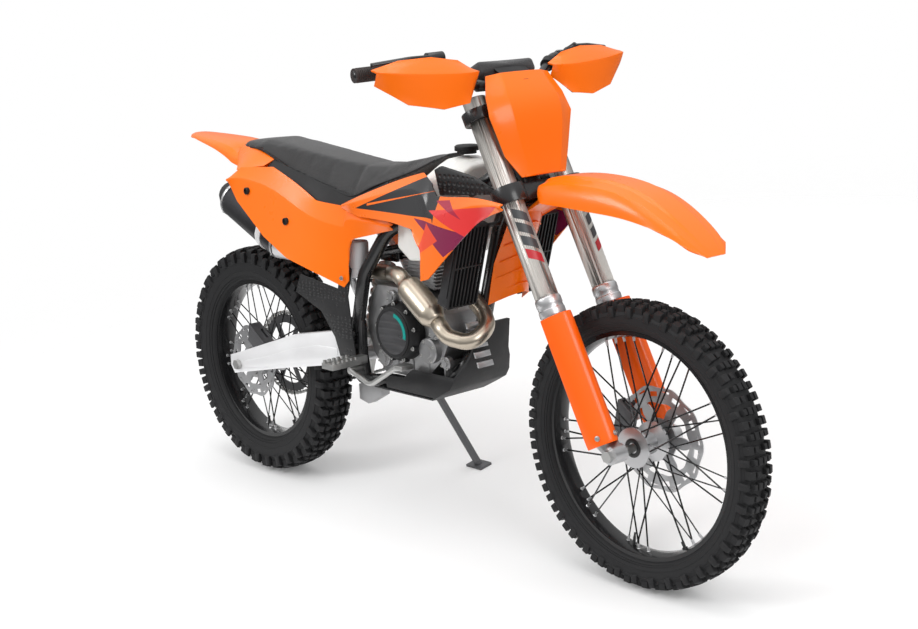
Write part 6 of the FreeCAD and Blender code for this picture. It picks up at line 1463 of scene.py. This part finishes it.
class ChassisOperator(PieceOperator):
    """Finishes the frame, subframe, guards, skid plate, swingarm, shock and foot controls."""

    bl_idname = "dirtbike.chassis"
    bl_label = "Chassis"

    def build(self, look_of):
        refined_all(look_of, "chassis", (
            ("frame", "frame", "black_metal", 0.0), ("subframe", "arm", "swingarm_alloy", 0.0),
            ("frame_guards", "dimpled", "black_plastic", 0.8), ("skid_plate", "black", "black_plastic", 0.8),
            ("swingarm", "arm", "swingarm_alloy", 1.2), ("linkage", "cast", "cast_alloy", 1.0),
            ("rear_caliper", "dark_cast", "cast_alloy", 1.2), ("rear_shock", "spring", "spring_white", 0.0),
            ("footpegs", "steel", "dark_steel", 0.6), ("brake_pedal", "steel", "dark_steel", 0.8),
            ("gear_lever", "steel", "dark_steel", 0.6),
        ))
        refined("side_stand", "side_stand", look_of["dark_cast"], 0.8)
        bottle = turned_mesh(RESERVOIR_PROFILE, 36)
        bottle.transform(between((572, -92, 664), (574, -92, 772)) @ Matrix.Diagonal((1.25, 1.0, 1.25, 1.0)))
        present("shock_reservoir", bottle, "chassis", look_of["reservoir"], BIKE)
        outline = [
            (SWINGARM_X + SWINGARM_LENGTH * a, SWINGARM_FOOT + SWINGARM_HEIGHT * b) for a, b in SWINGARM_RELIEF
        ]
        present("swingarm_relief", both_sides(outline, 113, 117.5, 1.8), "chassis", look_of["arm"],
                BIKE)
        # Bright machined-metal slivers in the skid plate stand in for the light seen through its slots: painted
        # light.
        slots = []
        for index in range(5):
            x, z = 1002 - 9 * index, 470 + 24 * index
            slots.append(prism_mesh([(x, z), (x + 6, z), (x + 1, z + 14), (x - 5, z + 14)], -70, -18, 0.8))
        present("skid_plate_slots", united(slots), "chassis", look_of["machined"], BIKE)


# The clutch cover: its middle in side view, and its outer face
CLUTCH_X, CLUTCH_HEIGHT, CLUTCH_FACE = 741, 536.6, -125.5
BOSS_PROFILE = ((0, 0), (9, 0), (8, 14), (0, 14))
CLUTCH_RIM_PROFILE = ((58, 0), (66, 0), (66, 2.2), (64, 3.2), (60, 3.2), (58, 2.0))
CLUTCH_DISC_PROFILE = ((0, 0), (57.5, 0), (57.5, 1.2), (0, 1.6))
BAND_PROFILE = ((52, -4), (54.6, -4), (55.0, -3), (55.0, 3), (54.6, 4), (52, 4))
# Round castings of the crankcase: x, height, radius, depth and the sides that carry them
CASE_BOSSES = (
    (846, 497, 34, 22, (-1,)), (866, 548, 20, 15, (-1, 1)), (655, 452, 24, 12, (-1, 1)), (700, 622, 18, 14, (-1, 1)),
    (838, 606, 22, 16, (-1, 1)), (900, 470, 17, 10, (-1, 1)),
)
# The muffler: the front end of its axis, its slope, and its width as a share of its height
MUFFLER_START, MUFFLER_SLOPE, MUFFLER_WIDTH = Vector((20, -122, 862)), math.radians(24.8), 0.92


class EngineOperator(PieceOperator):
    """Finishes the engine, its covers, bolts, radiators and exhaust."""

    bl_idname = "dirtbike.engine"
    bl_label = "Engine"

    def build(self, look_of):
        refined_all(look_of, "chassis", (
            ("crankcase", "cast", "engine_grey", 1.5), ("clutch_cover", "black", "cover_black", 1.0),
            ("ignition_cover", "black", "cover_black", 1.0), ("cylinder", "cast", "cylinder_alloy", 0.6),
            ("cylinder_head", "cast", "cylinder_alloy", 0.8), ("exhaust_header", "header", "header_steel", 0.0),
            ("muffler", "muffler", "muffler_grey", 0.8), ("muffler_cap", "soot", "muffler_dark", 0.8),
            ("muffler_cone", "machined", "bright_steel", 0.0), ("radiators", "fin", "radiator_alloy", 1.0),
            ("radiator_guards", "black", "black_plastic", 0.6),
        ))
        spots, bosses = [], []
        for x, z in round_spots(CLUTCH_X, CLUTCH_HEIGHT, 75, 9, 12):
            bosses.append(turned_between(BOSS_PROFILE, 16, (x, -102, z), (x, -116, z)))
            spots.append(((x, -115.5, z), (0, -1, 0), 6.0))
        face, out = Vector((CLUTCH_X, CLUTCH_FACE, CLUTCH_HEIGHT)), Vector((0, -1, 0))
        rim = turned_between(CLUTCH_RIM_PROFILE, 64, face, face + out, closed=True)
        present("clutch_cover_ring", united(bosses + [rim]), "chassis", look_of["black"], BIKE)
        disc = turned_between(CLUTCH_DISC_PROFILE, 48, face + 0.5 * out, face + out)
        present("clutch_cover_disc", disc, "chassis", look_of["plate"], BIKE)
        spots += [((x, 110, z), (0, 1, 0), 5.0) for x, z in round_spots(780, 546, 52, 6, 12)]
        castings = []
        for x, z, r, deep, sides in CASE_BOSSES:
            profile = [(0, -6), (r, -6), (r, deep - 3), (r - 3, deep), (r * 0.55, deep), (r * 0.5, deep + 2.5),
                       (0, deep + 3)]
            for side in sides:
                castings.append(turned_between(profile, 32, (x, side * 79, z), (x, side * 100, z)))
                spots += [
                    ((a, side * (79 + deep), b), (0, side, 0), 4.2) for a, b in round_spots(x, z, 0.8 * r, 4, 30)
                ]
        castings += [block_mesh((x, -82.5, 418), (x + 5, 82.5, 470), 1.5) for x in range(640, 889, 62)]
        present("crankcase_castings", united(castings), "chassis", look_of["cast"], BIKE)
        fins = [block_mesh((712.5, -54.5, z), (841.5, 54.5, z + 3.4), 0.8) for z in range(654, 738, 9)]
        present("cylinder_ribs", united(fins), "chassis", look_of["cast"], BIKE)
        bolts("cover_bolts", "chassis", look_of["steel"], spots)
        rows = []
        for step in range(9):
            angle = math.radians(mix(78, -12, step / 8))
            rows.append([
                (CLUTCH_X + r * math.cos(angle), -128.2, CLUTCH_HEIGHT + r * math.sin(angle)) for r in (45, 50, 55)
            ])
        band = tidy(applied(grid_mesh("band", rows), walled(1.2)))
        present("clutch_cover_band", band, "chassis", look_of["teal"], BIKE)
        start, slope = MUFFLER_START, MUFFLER_SLOPE
        way = Vector((math.cos(slope), 0, -math.sin(slope)))
        middle = Vector((0, start.y, 0))
        narrow = (
            Matrix.Translation(middle) @ Matrix.Scale(MUFFLER_WIDTH, 4, (0, 1, 0)) @ Matrix.Translation(-middle)
        )
        bands, spots = [], []
        for reach in (42, 290):
            band = turned_between(BAND_PROFILE, 48, start + way * reach, start + way * (reach + 10), closed=True)
            band.transform(narrow)
            bands.append(band)
            for index in range(8):
                angle = 2 * math.pi * index / 8
                out = Vector((math.sin(slope) * math.cos(angle), MUFFLER_WIDTH * math.sin(angle),
                              math.cos(slope) * math.cos(angle)))
                spots.append((start + way * reach + out * 55, out, 3.2))
        present("muffler_bands", united(bands), "chassis", look_of["machined"], BIKE)
        bolts("muffler_rivets", "chassis", look_of["steel"], spots)


# The camera: its place in metres by the upright bike, its azimuth, elevation and roll in degrees, and its lens
CAMERA_SPOT, CAMERA_TURN, CAMERA_LENS = (3.76124, -2.61471, 1.38610), (-42.06, 11.68, -2.58), 60.12
FLOOR_REACH, FLOOR_GLOW = 9.0, 0.09
LAMP_AIM = Vector((0, 0, 0.5))


class StudioOperator(PieceOperator):
    """Sets up the floor, light and camera."""

    bl_idname = "dirtbike.studio"
    bl_label = "Studio"

    def build(self, look_of):
        scene = bpy.context.scene
        light = scene.dirtbike_studio
        self.build_camera(scene)
        self.build_sky(scene, light.sky)
        for name, power, size, spot in (
            ("key", light.key, 1.6, (-1.6, -3.2, 3.6)), ("fill", light.fill, 1.8, (3.8, -0.6, 2.4)),
            ("top", light.fill, 3.0, (0.2, 0.2, 4.0)),
        ):
            data = bpy.data.lights.new(name, "AREA")
            data.energy, data.size = power, size
            lamp = link(name, data)
            aim = (LAMP_AIM - Vector(spot)).to_track_quat("-Z", "Y")
            lamp.matrix_world = Matrix.Translation(spot) @ aim.to_matrix().to_4x4()
        self.build_floor()
        scene.view_settings.view_transform = "Standard"

    def build_camera(self, scene):
        """Sets the camera where the reference view was taken from."""
        camera = link("camera", bpy.data.cameras.new("camera"))
        azimuth, elevation, roll = map(math.radians, CAMERA_TURN)
        back = Vector((math.cos(azimuth) * math.cos(elevation), math.sin(azimuth) * math.cos(elevation),
                       math.sin(elevation)))
        right = (-back).cross(Vector((0, 0, 1))).normalized()
        up = right.cross(-back).normalized()
        turned_right = math.cos(roll) * right + math.sin(roll) * up
        turned_up = -math.sin(roll) * right + math.cos(roll) * up
        axes = Matrix((turned_right, turned_up, back)).transposed()
        camera.matrix_world = UPRIGHT @ Matrix.LocRotScale(Vector(CAMERA_SPOT), axes, None)
        camera.data.sensor_fit = "HORIZONTAL"
        camera.data.sensor_width = 36
        camera.data.lens = CAMERA_LENS
        camera.data.clip_end = 100
        scene.camera = camera

    def build_sky(self, scene, strength):
        """Lights the bike from all round, and shows the camera plain white."""
        world = bpy.data.worlds.new("studio")
        scene.world = world
        world.use_nodes = True
        tree = world.node_tree
        sky = tree.nodes["Background"]
        path = add(tree, "ShaderNodeLightPath")
        seen = math_node(tree, "MAXIMUM", path.outputs["Is Camera Ray"], path.outputs["Is Transmission Ray"])
        way = add(tree, "ShaderNodeTexCoord").outputs["Generated"]
        height = add(tree, "ShaderNodeSeparateXYZ", {0: way}).outputs["Z"]
        lifted = add(tree, "ShaderNodeMapRange", {
            "Value": height, "From Min": -0.3, "From Max": 0.8, "To Min": 0.4 * strength, "To Max": 2.4 * strength,
        }, interpolation_type="SMOOTHSTEP").outputs[0]
        level = add(tree, "ShaderNodeMapRange", {"Value": seen, "To Min": lifted, "To Max": 1.0})
        sky.inputs["Color"].default_value = (1, 1, 1, 1)
        tree.links.new(level.outputs[0], sky.inputs["Strength"])

    def build_floor(self):
        """A pale floor that keeps the bike's shadow and fades into the white round it."""
        corners = [(x * FLOOR_REACH, y * FLOOR_REACH, 0) for x, y in ((-1, -1), (1, -1), (1, 1), (-1, 1))]
        floor = link("floor", mesh_from("floor", corners, [(0, 1, 2, 3)]))
        made = bpy.data.materials.new("floor_paper")
        made.use_nodes = True
        tree = made.node_tree
        tree.nodes.remove(tree.nodes["Principled BSDF"])
        paper = add(tree, "ShaderNodeBsdfDiffuse", {"Color": (0.80, 0.80, 0.80, 1.0)})
        away = add(tree, "ShaderNodeVectorMath", {0: object_place(tree)}, operation="LENGTH").outputs["Value"]
        fade = add(tree, "ShaderNodeMapRange", {"Value": away, "From Min": 1.4, "From Max": 3.4},
                   interpolation_type="SMOOTHSTEP")
        clear = add(tree, "ShaderNodeBsdfTransparent")
        glow = add(tree, "ShaderNodeEmission", {"Color": (1, 1, 1, 1), "Strength": FLOOR_GLOW})
        lifted = add(tree, "ShaderNodeAddShader", {0: paper.outputs[0], 1: glow.outputs[0]})
        blend = add(tree, "ShaderNodeMixShader", {0: fade.outputs[0], 1: lifted.outputs[0], 2: clear.outputs[0]})
        tree.links.new(blend.outputs[0], tree.nodes["Material Output"].inputs["Surface"])
        floor.data.materials.append(made)
        return floor


OPERATORS = (
    StudioOperator, TyresOperator, WheelsOperator, ChainOperator, ForkOperator, FrontPanelsOperator,
    BarsOperator, SeatOperator, BodyPanelsOperator, ChassisOperator, EngineOperator,
)
GROUPS = (("dirtbike_bodywork", BodyworkLook), ("dirtbike_tyres", TyreLook), ("dirtbike_studio", StudioLook))


class DirtBikePanel(bpy.types.Panel):
    """Lists the pieces and their sizes."""

    bl_idname = "VIEW3D_PT_dirt_bike"
    bl_label = "Dirt bike"
    bl_space_type = "VIEW_3D"
    bl_region_type = "UI"
    bl_category = "Dirt bike"

    def draw(self, context):
        for name, group in GROUPS:
            box = self.layout.box()
            for key in group.__annotations__:
                box.prop(getattr(context.scene, name), key)
        for operator in OPERATORS:
            self.layout.operator(operator.bl_idname)


def register():
    """Registers the sizes, the operators and the panel."""
    for name, group in GROUPS:
        bpy.utils.register_class(group)
        setattr(bpy.types.Scene, name, PointerProperty(type=group))
    for shown in OPERATORS + (DirtBikePanel,):
        bpy.utils.register_class(shown)


def unregister():
    """Takes the panel, the operators and the sizes off again."""
    for shown in reversed(OPERATORS + (DirtBikePanel,)):
        bpy.utils.unregister_class(shown)
    for name, group in reversed(GROUPS):
        delattr(bpy.types.Scene, name)
        bpy.utils.unregister_class(group)


def main():
    """Builds every piece in order."""
    register()
    for operator in OPERATORS:
        family, name = operator.bl_idname.split(".")
        getattr(getattr(bpy.ops, family), name)()


if __name__ == "__main__":
    main()
